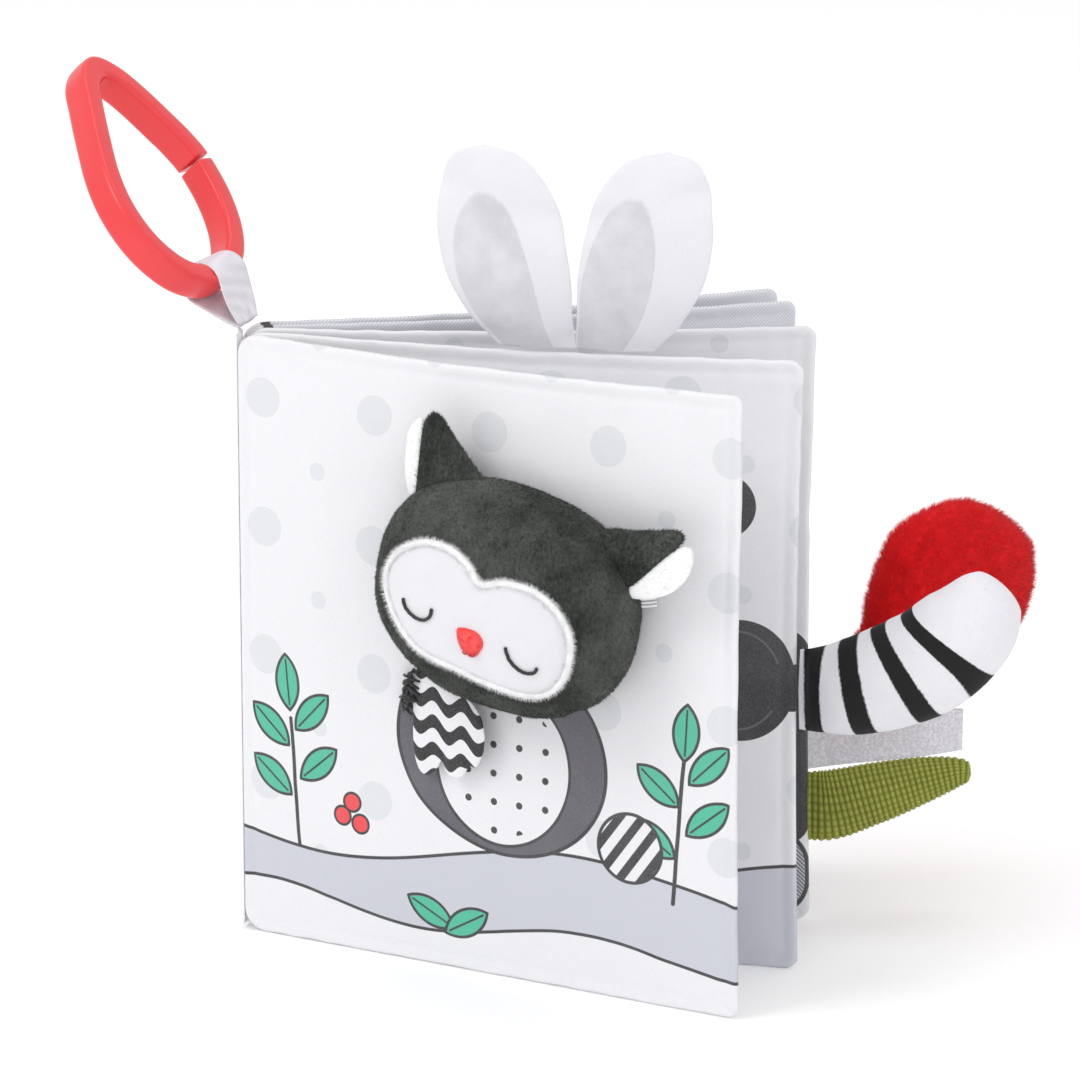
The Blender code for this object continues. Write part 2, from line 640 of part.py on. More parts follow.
def main():
    """Build the book from its middle leaf outwards."""
    clear_scene()
    looks = make_looks()
    leaf_looks = (looks["cloth"], looks["film"], looks["wadding"])

    middle_turn = FAN_COVER + FAN_LEAF_2
    foot = Vector((HEM / 2, -(CLEAR + FABRIC) / 2, 0.0))
    foot.rotate(Matrix.Rotation(math.radians(middle_turn), 3, "Z"))
    frames = {"leaf_3": frame("leaf_3_frame", None, -foot, middle_turn)}
    chain = (("leaf_2", "leaf_3", -1, FAN_LEAF_2), ("front_cover", "leaf_2", -1, FAN_COVER),
             ("leaf_4", "leaf_3", 1, FAN_LEAF_4), ("back_cover", "leaf_4", 1, FAN_BACK))
    for number, (name, neighbour, side, fan) in enumerate(chain, 1):
        pivot = (-PIVOT_BACK, side * LEAF_PITCH / 2, 0.0)
        hinge = frame(f"{name}_hinge", frames[neighbour], pivot, side * fan)
        frames[name] = frame(f"{name}_frame", hinge, (PIVOT_BACK, side * LEAF_PITCH / 2, 0.0))
        build_pleat(f"spine_pleat_{number}", frames[neighbour], side, fan, looks["spine"])
    for name, leaf in frames.items():
        build_leaf(name, leaf, *leaf_looks)

    cover = frames["front_cover"]
    build_head(cover, looks)
    build_wing(cover, looks)
    build_floppy_ear("left_floppy_ear", frames["leaf_2"], LEFT_FLOPPY_ALONG, 1, looks)
    build_floppy_ear("right_floppy_ear", frames["leaf_2"], RIGHT_FLOPPY_ALONG, -1, looks)
    build_tail("striped_tail", frames["leaf_2"], STRIPED_UP, STRIPED_REACH, STRIPED_RISE,
               (STRIPED_WIDTH, STRIPED_DEPTH),
               (STRIPED_PATH_SHARES, STRIPED_WIDTH_SHARES, STRIPED_DEPTH_SHARES), looks["tail"])
    build_tail("green_tail", frames["leaf_3"], GREEN_UP, GREEN_REACH, GREEN_RISE,
               (GREEN_WIDTH, GREEN_DEPTH),
               (GREEN_PATH_SHARES, GREEN_WIDTH_SHARES, GREEN_DEPTH_SHARES), looks["green"])
    build_tail("red_tail", frames["leaf_4"], RED_UP, RED_REACH, RED_RISE, (RED_WIDTH, RED_DEPTH),
               (RED_PATH_SHARES, RED_WIDTH_SHARES, RED_DEPTH_SHARES), looks["red"])
    build_satin_flap(frames["leaf_4"], looks)
    build_ring(build_ribbon(frames["leaf_3"], looks), looks)
    bpy.context.view_layer.update()


main()
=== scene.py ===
"""Dress the crinkle cloth book: printed cloth leaves, plush, fur, satin and moulded plastic.

Every piece stands on the fixed frame. A leaf's own frame has u along the leaf from the spine,
n across it towards the back of the book, and z up, all in millimetres.
"""
import logging
import math
from dataclasses import dataclass
from enum import Enum
from typing import Callable, Optional, Sequence

import bpy
import numpy as np
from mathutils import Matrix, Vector, noise


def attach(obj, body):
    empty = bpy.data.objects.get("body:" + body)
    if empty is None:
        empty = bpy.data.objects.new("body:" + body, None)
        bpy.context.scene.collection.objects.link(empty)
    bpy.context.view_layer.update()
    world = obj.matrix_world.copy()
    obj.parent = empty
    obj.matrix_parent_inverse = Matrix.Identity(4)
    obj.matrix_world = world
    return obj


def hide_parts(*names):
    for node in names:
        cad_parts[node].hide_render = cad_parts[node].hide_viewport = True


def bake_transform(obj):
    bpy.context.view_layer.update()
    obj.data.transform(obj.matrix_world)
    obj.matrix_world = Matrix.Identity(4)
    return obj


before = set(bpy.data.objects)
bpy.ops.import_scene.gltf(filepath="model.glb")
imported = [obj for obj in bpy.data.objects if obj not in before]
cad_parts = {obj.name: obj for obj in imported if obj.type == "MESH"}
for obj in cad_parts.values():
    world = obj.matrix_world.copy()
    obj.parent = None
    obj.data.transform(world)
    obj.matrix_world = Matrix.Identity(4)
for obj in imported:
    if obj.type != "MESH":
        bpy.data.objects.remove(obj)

LOG = logging.getLogger("cloth_book")
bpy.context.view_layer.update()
MM = 0.001

Piece = bpy.types.Object
Material = bpy.types.Material
Array = np.ndarray
Pair = tuple[float, float]
Triple = tuple[float, float, float]
Colour = Triple
Place = Callable[[Array, Array], Array]
Field = Callable[[Array], Array]
Rows = Sequence[tuple[float, ...]]
Stroke = Sequence[Vector]

LEAF_WIDTH = 147
LEAF_HEIGHT = 160
LEAF_CROWN = 1.9
SEAM_HALF = 0.85
HEM = 4
DRAW_IN = 1.2
ROOT_GAP = 0.5
COVER_SEAT = -3.05

WHITE: Colour = (0.785, 0.785, 0.81)
BLACK: Colour = (0.012, 0.012, 0.013)
LILAC: Colour = (0.55, 0.56, 0.62)
PALE: Colour = (0.69, 0.7, 0.73)
SLATE: Colour = (0.085, 0.08, 0.098)
GREEN: Colour = (0.045, 0.46, 0.29)
RED: Colour = (0.8, 0.035, 0.045)


# Places and forms

@dataclass(frozen=True)
class LeafFrame:
    """Where one leaf stands: the foot of its spine edge and its turn about the upright."""

    body: str
    x: float
    y: float
    turn: float

    def world(self, u: Array, n: Array, z: Array) -> Array:
        """Return places on the leaf in the book's frame, one row in metres for each."""
        turn = math.radians(self.turn)
        x = self.x + u * math.cos(turn) - n * math.sin(turn)
        y = self.y + u * math.sin(turn) + n * math.cos(turn)
        return np.stack([x, y, z + 0 * x], axis=1) * MM

    def point(self, u: float, n: float, z: float) -> Vector:
        """Return one place on the leaf in the book's frame."""
        return Vector(self.world(np.array([u]), np.array([n]), np.array([z]))[0])


LEAVES = {leaf.body: leaf for leaf in (
    LeafFrame("front_cover", -0.4158, -6.2043, 0),
    LeafFrame("leaf_2", -0.8144, -3.2945, 15.6),
    LeafFrame("leaf_3", -1.9729, -0.5981, 30.9),
    LeafFrame("leaf_4", -3.7102, 1.7327, 42.5),
    LeafFrame("back_cover", -5.73, 3.7455, 47.7),
)}


def ease(distance: Array, reach: float) -> Array:
    """Return 0 at a seam, rising smoothly to 1 at the reach."""
    return np.sin(np.pi / 2 * np.clip(distance / reach, 0, 1))


def inset(distance: Array, size: float = 1) -> Array:
    """Return the distance to the nearer of two ends that are a size apart."""
    return np.minimum(distance, size - distance)


def rounded(wave: Array, power: float) -> Array:
    """Raise a sine or cosine to a power and keep its sign."""
    return np.sign(wave) * np.abs(wave) ** power


def round_over(share: Array) -> Array:
    """Return the height of a quarter round, from 0 at its edge to 1 past its share of 1."""
    return np.sqrt(np.clip(1 - (1 - np.clip(share, 0, 1)) ** 2, 0, 1))


def unit(rows: Array) -> Array:
    """Return every row at length 1."""
    return rows / np.maximum(np.linalg.norm(rows, axis=1, keepdims=True), 1e-9)


def steady(*way: float) -> Field:
    """Return a field that gives one direction everywhere."""
    return lambda p: np.tile(way, (len(p), 1))


def ahead_of(distance: float) -> Field:
    """Return a mask of the places more than so many millimetres before the spine."""
    return lambda p: 1 * (p[:, 1] < -distance * MM)


def sewn_edge(size: float, at: float, span: float) -> float:
    """Return where a piece sewn into a leaf's drawn-in edge begins."""
    return size - DRAW_IN * math.sin(math.pi * at / span) + ROOT_GAP


def wander(a: Array, b: Array, pitch: float, seed: float) -> Array:
    """Return smooth noise from -1 to 1 over two coordinates, at a pitch and for a seed."""
    return np.array([noise.noise(Vector((p / pitch, q / pitch, seed * 7.31)))
                     for p, q in zip(a, b)])


def curve_through(points: Rows, t: Array) -> Array:
    """Return places on a smooth curve through points, for shares from 0 to 1."""
    path = np.array(points, float)
    at = np.clip(t, 0, 1) * (len(path) - 1)
    k = np.minimum(at.astype(int), len(path) - 2)
    f = (at - k)[:, None]
    path = np.vstack([2 * path[:1] - path[1:2], path, 2 * path[-1:] - path[-2:-1]])
    p0, p1, p2, p3 = (path[k + j] for j in range(4))
    return 0.5 * (2 * p1 + (p2 - p0) * f + (2 * p0 - 5 * p1 + 4 * p2 - p3) * f ** 2
                  + (3 * p1 - p0 - 3 * p2 + p3) * f ** 3)


def loop_through(points: Rows, t: Array) -> Array:
    """Return places on a smooth closed loop through points, for shares from 0 to 1."""
    count = len(points)
    path = [points[k % count] for k in range(-2, count + 3)]
    share = (2 + np.mod(t, 1) * count) / (count + 4)
    return curve_through(path, share)


# The bench: how pieces are set out and finished

@dataclass(frozen=True)
class Pile:
    """Fibres on a surface, in millimetres, leaning over from 0 upright to 1 flat."""

    count: int
    length: float
    width: float
    lean: float
    seed: int


class Bench:
    """Sets out primitives, shapes them and finishes them."""

    FIBRE_CORNERS = (0, 2.094, 4.189)
    WELD = 0.004 * MM

    @staticmethod
    def take(obj: Piece) -> None:
        """Make one object the only selected and active one."""
        bpy.ops.object.select_all(action="DESELECT")
        obj.select_set(True)
        bpy.context.view_layer.objects.active = obj

    @staticmethod
    def add(name: str, data: bpy.types.ID) -> Piece:
        """Hang new data in the scene as an object and return it."""
        obj = bpy.data.objects.new(name, data)
        bpy.context.scene.collection.objects.link(obj)
        return obj

    @classmethod
    def close(cls, obj: Piece, rolled: bool) -> None:
        """Join a rolled-up grid into a closed body, or turn an open sheet's faces round."""
        cls.take(obj)
        bpy.ops.object.mode_set(mode="EDIT")
        bpy.ops.mesh.select_all(action="SELECT")
        if rolled:
            bpy.ops.mesh.remove_doubles(threshold=cls.WELD)
            bpy.ops.mesh.normals_make_consistent(inside=False)
        else:
            bpy.ops.mesh.flip_normals()
        bpy.ops.object.mode_set(mode="OBJECT")

    @staticmethod
    def read(items: bpy.types.bpy_prop_collection, key: str, width: int,
             kind: type = float) -> Array:
        """Return one property of every item, one row for each."""
        flat = np.empty(len(items) * width, kind)
        items.foreach_get(key, flat)
        return flat.reshape(-1, width)

    @classmethod
    def cloth(cls, name: str, cells: tuple[int, int], place: Place, thick: float = 0,
              offset: float = -1, flip: bool = False, uv: Optional[Place] = None) -> Piece:
        """Make a piece from a square grid that is laid out over a form.

        Args:
            name: The piece's name.
            cells: How many cells across and along.
            place: Takes shares across and along and gives places in metres.
            thick: Wall of an open sheet in metres, or 0 for a grid rolled up into a body.
            offset: The side that the wall is laid on: -1 inside, 0 both.
            flip: Turn an open sheet round.
            uv: Takes the same shares and gives the print's coordinates.

        Returns:
            The piece, shaded smooth, with its place in its mesh.
        """
        bpy.ops.object.select_all(action="DESELECT")
        bpy.ops.mesh.primitive_grid_add(x_subdivisions=cells[0], y_subdivisions=cells[1], size=1)
        obj = bpy.context.active_object
        obj.name = name
        obj.data.name = name
        mesh = obj.data
        flat = cls.read(mesh.vertices, "co", 3)
        s, t = flat[:, 0] + 0.5, flat[:, 1] + 0.5
        if uv is not None:
            corners = cls.read(mesh.loops, "vertex_index", 1, int).ravel()
            mesh.uv_layers.active.data.foreach_set("uv", uv(s, t)[corners].ravel())
        mesh.vertices.foreach_set("co", place(s, t).ravel())
        mesh.update()
        if flip or not thick:
            cls.close(obj, rolled=not thick)
        if thick:
            cls.take(obj)
            wall = obj.modifiers.new("Wall", "SOLIDIFY")
            wall.thickness, wall.offset = thick, offset
            bpy.ops.object.modifier_apply(modifier=wall.name)
        cls.take(obj)
        bpy.ops.object.shade_smooth()
        return obj

    @classmethod
    def threads(cls, name: str, strokes: Sequence[Stroke], radius: float,
                cyclic: bool = False, sides: int = 2) -> Piece:
        """Make thread, cord or trim along one or more paths.

        Args:
            name: The piece's name.
            strokes: The points of each path, in metres.
            radius: Half the thread's thickness in metres.
            cyclic: Whether each path closes on itself.
            sides: Roundness of the thread.

        Returns:
            The thread as one mesh.
        """
        line = bpy.data.curves.new(name, "CURVE")
        line.dimensions = "3D"
        line.bevel_depth = radius
        line.bevel_resolution = sides
        line.use_fill_caps = not cyclic
        for points in strokes:
            spline = line.splines.new("NURBS")
            spline.points.add(len(points) - 1)
            for made, point in zip(spline.points, points):
                made.co = (*point, 1)
            spline.use_cyclic_u = cyclic
            spline.use_endpoint_u = not cyclic
            spline.order_u = 3
            spline.resolution_u = 4
        cls.take(cls.add(name, line))
        bpy.ops.object.convert(target="MESH")
        bpy.ops.object.shade_smooth()
        return bpy.context.active_object

    @classmethod
    def grow(cls, obj: Piece, pile: Pile, lay: Field, keep: Optional[Field] = None) -> None:
        """Stand fibres on a piece's surface, as part of the piece.

        Args:
            obj: The piece.
            pile: The fibres.
            lay: Takes places in metres and gives the way the pile is combed at each.
            keep: Takes places in metres and says which carry fibres.
        """
        mesh, count, lean = obj.data, pile.count, pile.lean
        length, width = pile.length * MM, pile.width * MM
        mesh.calc_loop_triangles()
        corner = cls.read(mesh.loop_triangles, "vertices", 3, int)
        loops = cls.read(mesh.loop_triangles, "loops", 3, int)
        tri = cls.read(mesh.vertices, "co", 3)[corner]
        cross = np.cross(tri[:, 1] - tri[:, 0], tri[:, 2] - tri[:, 0])
        area = np.linalg.norm(cross, axis=1)
        weight = area * (keep(tri.mean(axis=1)) if keep is not None else 1)
        rng = np.random.default_rng(pile.seed)
        chosen = rng.choice(len(tri), size=count, p=weight / weight.sum())
        mix = rng.random((count, 2))
        mix = np.where(mix.sum(axis=1, keepdims=True) > 1, 1 - mix, mix)
        share = np.stack([1 - mix.sum(axis=1), mix[:, 0], mix[:, 1]], axis=1)[:, :, None]
        root = (tri[chosen] * share).sum(axis=1)
        up = cross[chosen] / np.maximum(area[chosen], 1e-12)[:, None]
        comb = lay(root)
        comb = unit(comb - (comb * up).sum(axis=1, keepdims=True) * up)
        way = unit(up * (1 - lean) + comb * lean + rng.normal(0, 0.22, (count, 3)))
        side = unit(np.cross(way, up + rng.normal(0, 0.3, (count, 3))))
        other = np.cross(way, side)
        reach = (length * rng.uniform(0.65, 1.1, count))[:, None]
        tip = root + (way + 0.35 * lean * comb - 0.12 * up) * reach
        root = root - up * width
        rows = [root + (side * math.cos(a) + other * math.sin(a)) * width / 2
                for a in cls.FIBRE_CORNERS]
        verts = np.stack([*rows, tip], axis=1).reshape(-1, 3)
        pattern = np.array([(0, 1, 3), (1, 2, 3), (2, 0, 3)])
        faces = (4 * np.arange(count)[:, None, None] + pattern).reshape(-1, 3)
        fibres = bpy.data.meshes.new(f"{obj.name}_fibres")
        fibres.from_pydata(verts.tolist(), [], faces.tolist())
        source = mesh.uv_layers.active
        if source is not None:
            at = (cls.read(source.data, "uv", 2)[loops[chosen]] * share).sum(axis=1)
            target = fibres.uv_layers.new(name=source.name)
            target.data.foreach_set("uv", np.repeat(at, pattern.size, axis=0).ravel())
        made = cls.add(fibres.name, fibres)
        cls.take(obj)
        made.select_set(True)
        bpy.ops.object.join()
        bpy.ops.object.shade_smooth()


# Shader work

class Value:
    """A socket in a material that takes part in expressions."""

    def __init__(self, board: "Board", socket: bpy.types.NodeSocket,
                 vector: bool = False) -> None:
        """Wrap a socket of a board's node tree."""
        self.board = board
        self.socket = socket
        self.vector = vector

    def work(self, operation: str, other: object = None) -> "Value":
        """Return the result of one operation with a number, tuple or another value."""
        vector = self.vector or isinstance(other, tuple) or getattr(other, "vector", False)
        kind = "ShaderNodeVectorMath" if vector else "ShaderNodeMath"
        sockets = {k: v for k, v in enumerate((self, other)) if v is not None}
        return self.board.node(kind, {"operation": operation}, sockets, vector=vector)

    @staticmethod
    def operation(name: str) -> Callable[..., "Value"]:
        """Return a method that does one operation of the shader's mathematics."""
        return lambda self, other=None: self.work(name, other)

    __add__ = operation("ADD")
    __sub__ = operation("SUBTRACT")
    __mul__ = operation("MULTIPLY")
    absolute = operation("ABSOLUTE")
    sine = operation("SINE")
    higher = operation("MAXIMUM")

    def length(self) -> "Value":
        """Return a vector's length."""
        return self.board.node("ShaderNodeVectorMath", {"operation": "LENGTH"}, {0: self}, out=1)

    def clamp(self) -> "Value":
        """Hold a number between 0 and 1."""
        return self.board.node("ShaderNodeClamp", {}, {0: self})

    def parts(self) -> list["Value"]:
        """Return a vector's three numbers."""
        made = self.board.node("ShaderNodeSeparateXYZ", {}, {0: self}).socket.node
        return [Value(self.board, out) for out in made.outputs]


class Board:
    """The node tree of one material, written as expressions in millimetres."""

    SOFT_EDGE = 0.16

    def __init__(self, name: str) -> None:
        """Start a material with its plain shader."""
        self.material = bpy.data.materials.new(name)
        self.material.use_nodes = True
        self.tree = self.material.node_tree
        self.shader = self.tree.nodes["Principled BSDF"]

    def node(self, kind: str, settings: dict[str, object], sockets: dict[object, object],
             out: int = 0, vector: bool = False) -> Value:
        """Add a node.

        Args:
            kind: The node's type.
            settings: Its settings, which are set first.
            sockets: Values or links of its inputs by name or number.
            out: The output to return.
            vector: Whether that output is a vector or a colour.

        Returns:
            The chosen output.
        """
        made = self.tree.nodes.new(kind)
        for key, value in settings.items():
            setattr(made, key, value)
        for key, value in sockets.items():
            self.feed(made.inputs[key], value)
        return Value(self, made.outputs[out], vector)

    def feed(self, socket: bpy.types.NodeSocket, value: object) -> None:
        """Link a value to an input, or set a constant on it."""
        if isinstance(value, Value):
            self.tree.links.new(value.socket, socket)
        elif hasattr(socket.default_value, "__len__"):
            many = value if isinstance(value, tuple) else (value,) * 3
            full = (*many, 1) if len(socket.default_value) == 4 and len(many) == 3 else many
            socket.default_value = full
        else:
            socket.default_value = value

    def coordinate(self, out: int) -> Value:
        """Return one kind of coordinate by its output number."""
        return self.node("ShaderNodeTexCoord", {}, {}, out=out, vector=True)

    def spot(self) -> Value:
        """Return the place on the piece in millimetres of the book's frame."""
        return self.coordinate(3) * 1000

    def noise(self, place: Value, pitch: float, detail: float = 2, rough: float = 0.5) -> Value:
        """Return noise from 0 to 1 that changes over a pitch."""
        return self.node("ShaderNodeTexNoise", {}, {"Vector": place, "Scale": 1 / pitch,
                                                    "Detail": detail, "Roughness": rough})

    def mix(self, share: object, low: object, high: object) -> Value:
        """Return a colour between two."""
        return self.node("ShaderNodeMix", {"data_type": "RGBA", "clamp_factor": True},
                         {0: share, 6: low, 7: high}, out=2, vector=True)

    def inside(self, distance: Value, soft: float = SOFT_EDGE) -> Value:
        """Return 1 where a signed distance is below 0, with a soft edge."""
        return self.node("ShaderNodeMath", {"operation": "MULTIPLY_ADD", "use_clamp": True},
                         {0: distance, 1: -1 / soft, 2: 0.5})

    def finish(self, colour: object, roughness: object, height: Optional[Value],
               **constants: object) -> Material:
        """Feed the shader.

        Args:
            colour: Base colour.
            roughness: Roughness.
            height: Surface relief in millimetres.
            constants: Constants by input name, with _ for a space.

        Returns:
            The material.
        """
        self.feed(self.shader.inputs["Base Color"], colour)
        self.feed(self.shader.inputs["Roughness"], roughness)
        if height is not None:
            normal = self.node("ShaderNodeBump", {}, {"Height": height, "Distance": MM,
                                                      "Strength": 1}, vector=True)
            self.feed(self.shader.inputs["Normal"], normal)
        for key, value in constants.items():
            self.feed(self.shader.inputs[key.replace("_", " ")], value)
        return self.material


class Drawing:
    """A printed picture on a leaf, laid down ink by ink in millimetres."""

    def __init__(self, board: Board, ground: Colour, width: float, height: float) -> None:
        """Start with bare cloth of one colour."""
        self.board = board
        self.place = board.coordinate(2) * (width, height, 0)
        self.ink: object = ground
        self.u, self.z, _ = self.place.parts()

    def local(self, x: float, z: float, turn: float = 0, scale: Triple = (1, 1, 1)) -> Value:
        """Return the place measured from a centre, along turned axes."""
        return self.board.node("ShaderNodeMapping", {"vector_type": "TEXTURE"}, {
            "Vector": self.place, "Location": (x, z, 0),
            "Rotation": (0, 0, math.radians(turn)), "Scale": scale}, vector=True)

    def oval(self, x: float, z: float, a: float, b: float, turn: float = 0) -> Value:
        """Return the distance from an oval with two half axes."""
        return (self.local(x, z, turn, (a, b, 1)).length() - 1) * min(a, b)

    def blade(self, x: float, z: float, turn: float, half: float, wide: float) -> Value:
        """Return the distance from a leaf blade, pointed at both ends of its own z axis."""
        offset = (half * half - wide * wide) / (2 * wide)
        bent = self.local(x, z, turn).absolute() + (offset, 0, 0)
        return bent.length() - (offset + wide)

    def bar(self, x: float, z: float, turn: float, half: float, thick: float) -> Value:
        """Return the distance from a straight bar with round ends."""
        past = (self.local(x, z, turn).absolute() - (half, 0, 0)).higher((0, 0, 0))
        return past.length() - thick

    def ridge(self, base: float, rise: float, pitch: float, phase: float) -> Value:
        """Return the height above a rolling line."""
        return self.z - base - (self.u * (2 * math.pi / pitch) + phase).sine() * rise

    def lattice(self, pitch: float, radius: float, shift: float) -> Value:
        """Return the distance from dots on a square lattice."""
        cell = ((self.place + (shift, shift, 0)) * (1 / pitch)).work("FRACTION")
        return (cell - (0.5, 0.5, 0)).length() * pitch - radius

    def lay(self, distance: Value, colour: Colour, line: float = 0,
            within: Optional[Value] = None) -> None:
        """Lay one ink over what is there.

        Args:
            distance: Signed distance from the shape, below 0 inside.
            colour: The ink.
            line: Width of a black outline, or 0 for none.
            within: A mask from 0 to 1 that the ink keeps to.
        """
        mask = self.board.inside(distance)
        if within is not None:
            mask = mask * within
        self.ink = self.board.mix(mask, self.ink, colour)
        if line:
            self.lay(distance.absolute() - line / 2, BLACK, within=within)

    def sprig(self, half: float, wide: float, *blades: Triple) -> None:
        """Draw green leaves, each at its place and turn, with outline and middle vein."""
        for x, z, turn in blades:
            self.lay(self.blade(x, z, turn, half, wide), GREEN, 0.8)
            self.lay(self.bar(x, z, turn + 90, half * 0.8, 0.28), BLACK)

    def disc(self, x: float, z: float, radius: float) -> Value:
        """Return the distance from a disc."""
        return self.oval(x, z, radius, radius)

    def twill(self, slant: Value, pitch: float, thick: float, ink: Colour, area: Value) -> None:
        """Fill an area with fine slanting lines, a little inside its edge."""
        self.lay(slant.work("PINGPONG", pitch) - thick, ink, within=self.board.inside(area + 0.6))


class Print(Enum):
    """What is printed on a face of a leaf."""

    COVER = "cover"
    MEADOW = "meadow"
    DOTS = "dots"
    BANDS = "bands"
    HATCH = "hatch"


class Prints:
    """Draws the generic pictures of the book."""

    @staticmethod
    def backdrop(page: Drawing, shift: float) -> None:
        """Lay pale dots of two sizes behind everything."""
        page.lay(page.lattice(34, 5.2, shift), PALE)
        page.lay(page.lattice(34, 2.4, shift + 17), PALE)

    @classmethod
    def cover(cls, page: Drawing) -> None:
        """Draw rolling ground, sprigs, a ball, berries and a rounded body below the head."""
        cls.backdrop(page, 9)
        page.lay(page.ridge(31, 5.5, 150, 3.6), LILAC, 0.9)
        page.lay(page.ridge(12.5, 3.2, 96, 1.1), WHITE, 0.9)
        for x, z, turn, half in ((17, 43, 4, 17), (131, 47, -5, 19)):
            page.lay(page.bar(x, z, 90 + turn, half, 0.55), BLACK)
        page.sprig(7.4, 3.5, (10, 44, 52), (24.5, 49, -50), (9.5, 57.5, 48),
                   (22.5, 62.5, -44), (14.8, 69.5, 6), (124, 44.5, 54),
                   (139, 51, -52), (125.5, 58.5, 50), (139.5, 65, -46),
                   (133.2, 73, -4), (58, 14.5, 62), (68.5, 13, -60))
        ball = page.disc(117.5, 41, 9)
        page.lay(ball, WHITE, 0.9)
        stripe = (page.u * 0.8 - page.z * 0.6).work("PINGPONG", 2.4)
        page.lay(stripe - 1.15, BLACK, within=page.board.inside(ball))
        page.lay(page.oval(80, 61, 31, 27, -14), SLATE, 0.9)
        belly = page.oval(80.5, 57, 19.5, 21, -10)
        page.lay(belly, WHITE, 0.8)
        page.lay(page.lattice(7.6, 0.95, 2), BLACK, within=page.board.inside(belly + 2.4))
        for x, z in ((32, 36.5), (37.5, 35), (35, 40.5)):
            page.lay(page.disc(x, z, 2.5), RED, 0.7)

    @classmethod
    def meadow(cls, page: Drawing) -> None:
        """Draw ground, a sprig, and black rounds, one where the striped tail is sewn on."""
        cls.backdrop(page, 3)
        page.lay(page.ridge(24, 4, 130, 0.4), LILAC, 0.9)
        page.lay(page.oval(132.5, 76.5, 14.5, 16), BLACK)
        page.lay(page.oval(131.5, 76.5, 11.6, 13).absolute() - 0.25, SLATE)
        page.lay(page.bar(144, 75, 0, 6, 6.2), BLACK)
        page.lay(page.disc(127.5, 122, 8.5), BLACK)
        page.sprig(7.8, 3.8, (24, 112, 40), (33, 117, -38), (28.5, 126, 4))

    @classmethod
    def bands(cls, page: Drawing) -> None:
        """Draw a black bar and a grey twill patch beside the free edge."""
        cls.backdrop(page, 14)
        page.lay(page.ridge(10, 2.5, 90, 2), PALE, 0.9)
        page.lay(page.bar(140, 50, 90, 22, 7.5), BLACK)
        patch = page.bar(137, 13, 90, 2, 9.5)
        page.lay(patch, LILAC, 1.2)
        page.twill(page.u + page.z, 0.55, 0.27, SLATE, patch)

    @classmethod
    def hatch(cls, page: Drawing) -> None:
        """Draw grey twill rounds inside black outlines, over low ground."""
        cls.backdrop(page, 21)
        for area in (page.oval(112, 150, 40, 24, 12),
                     page.oval(40, 158, 34, 14, -6)):
            page.lay(area, PALE, 1.1)
            page.twill(page.u - page.z, 0.5, 0.24, LILAC, area)
        page.lay(page.ridge(20, 4.5, 120, 2.4), LILAC, 0.9)

    @classmethod
    def dots(cls, page: Drawing) -> None:
        """Draw rounds one inside the other over a low rolling ground."""
        cls.backdrop(page, 26)
        page.lay(page.ridge(18, 5, 140, 4.4), PALE, 0.9)
        for radius, ink in ((22, PALE), (15, WHITE), (8, SLATE)):
            page.lay(page.disc(74, 86, radius), ink)


@dataclass(frozen=True)
class ClothFinish:
    """Woven book cloth, with its print."""

    name: str
    picture: Optional[Print] = None
    ground: Colour = WHITE
    size: Pair = (LEAF_WIDTH, LEAF_HEIGHT)
    weave: float = 0.42
    weave_depth: float = 0.012
    crease: float = 9
    crease_depth: float = 0.16
    roughness: float = 0.62

    def make(self) -> Material:
        """Return the material: print, thread grain, soft creases and slight soiling."""
        board = Board(self.name)
        here = board.spot()
        ink: object = self.ground
        if self.picture is not None:
            page = Drawing(board, self.ground, *self.size)
            getattr(Prints, self.picture.value)(page)
            ink = page.ink
        worn = board.noise(here, 14, 3)
        ink = board.mix(worn * 0.1, ink, (0.7, 0.7, 0.73))
        grain = board.noise(here, self.weave, 1)
        ink = board.mix((grain - 0.42) * 0.28, ink, (0.45, 0.45, 0.48))
        soft = board.noise(here * (1, 1, 0.6), self.crease, 2.5, 0.55)
        height = grain * self.weave_depth + soft * self.crease_depth
        rough = board.noise(here, 5) * 0.12 + (self.roughness - 0.06)
        return board.finish(ink, rough, height, Sheen_Weight=0.12, Sheen_Roughness=0.5)


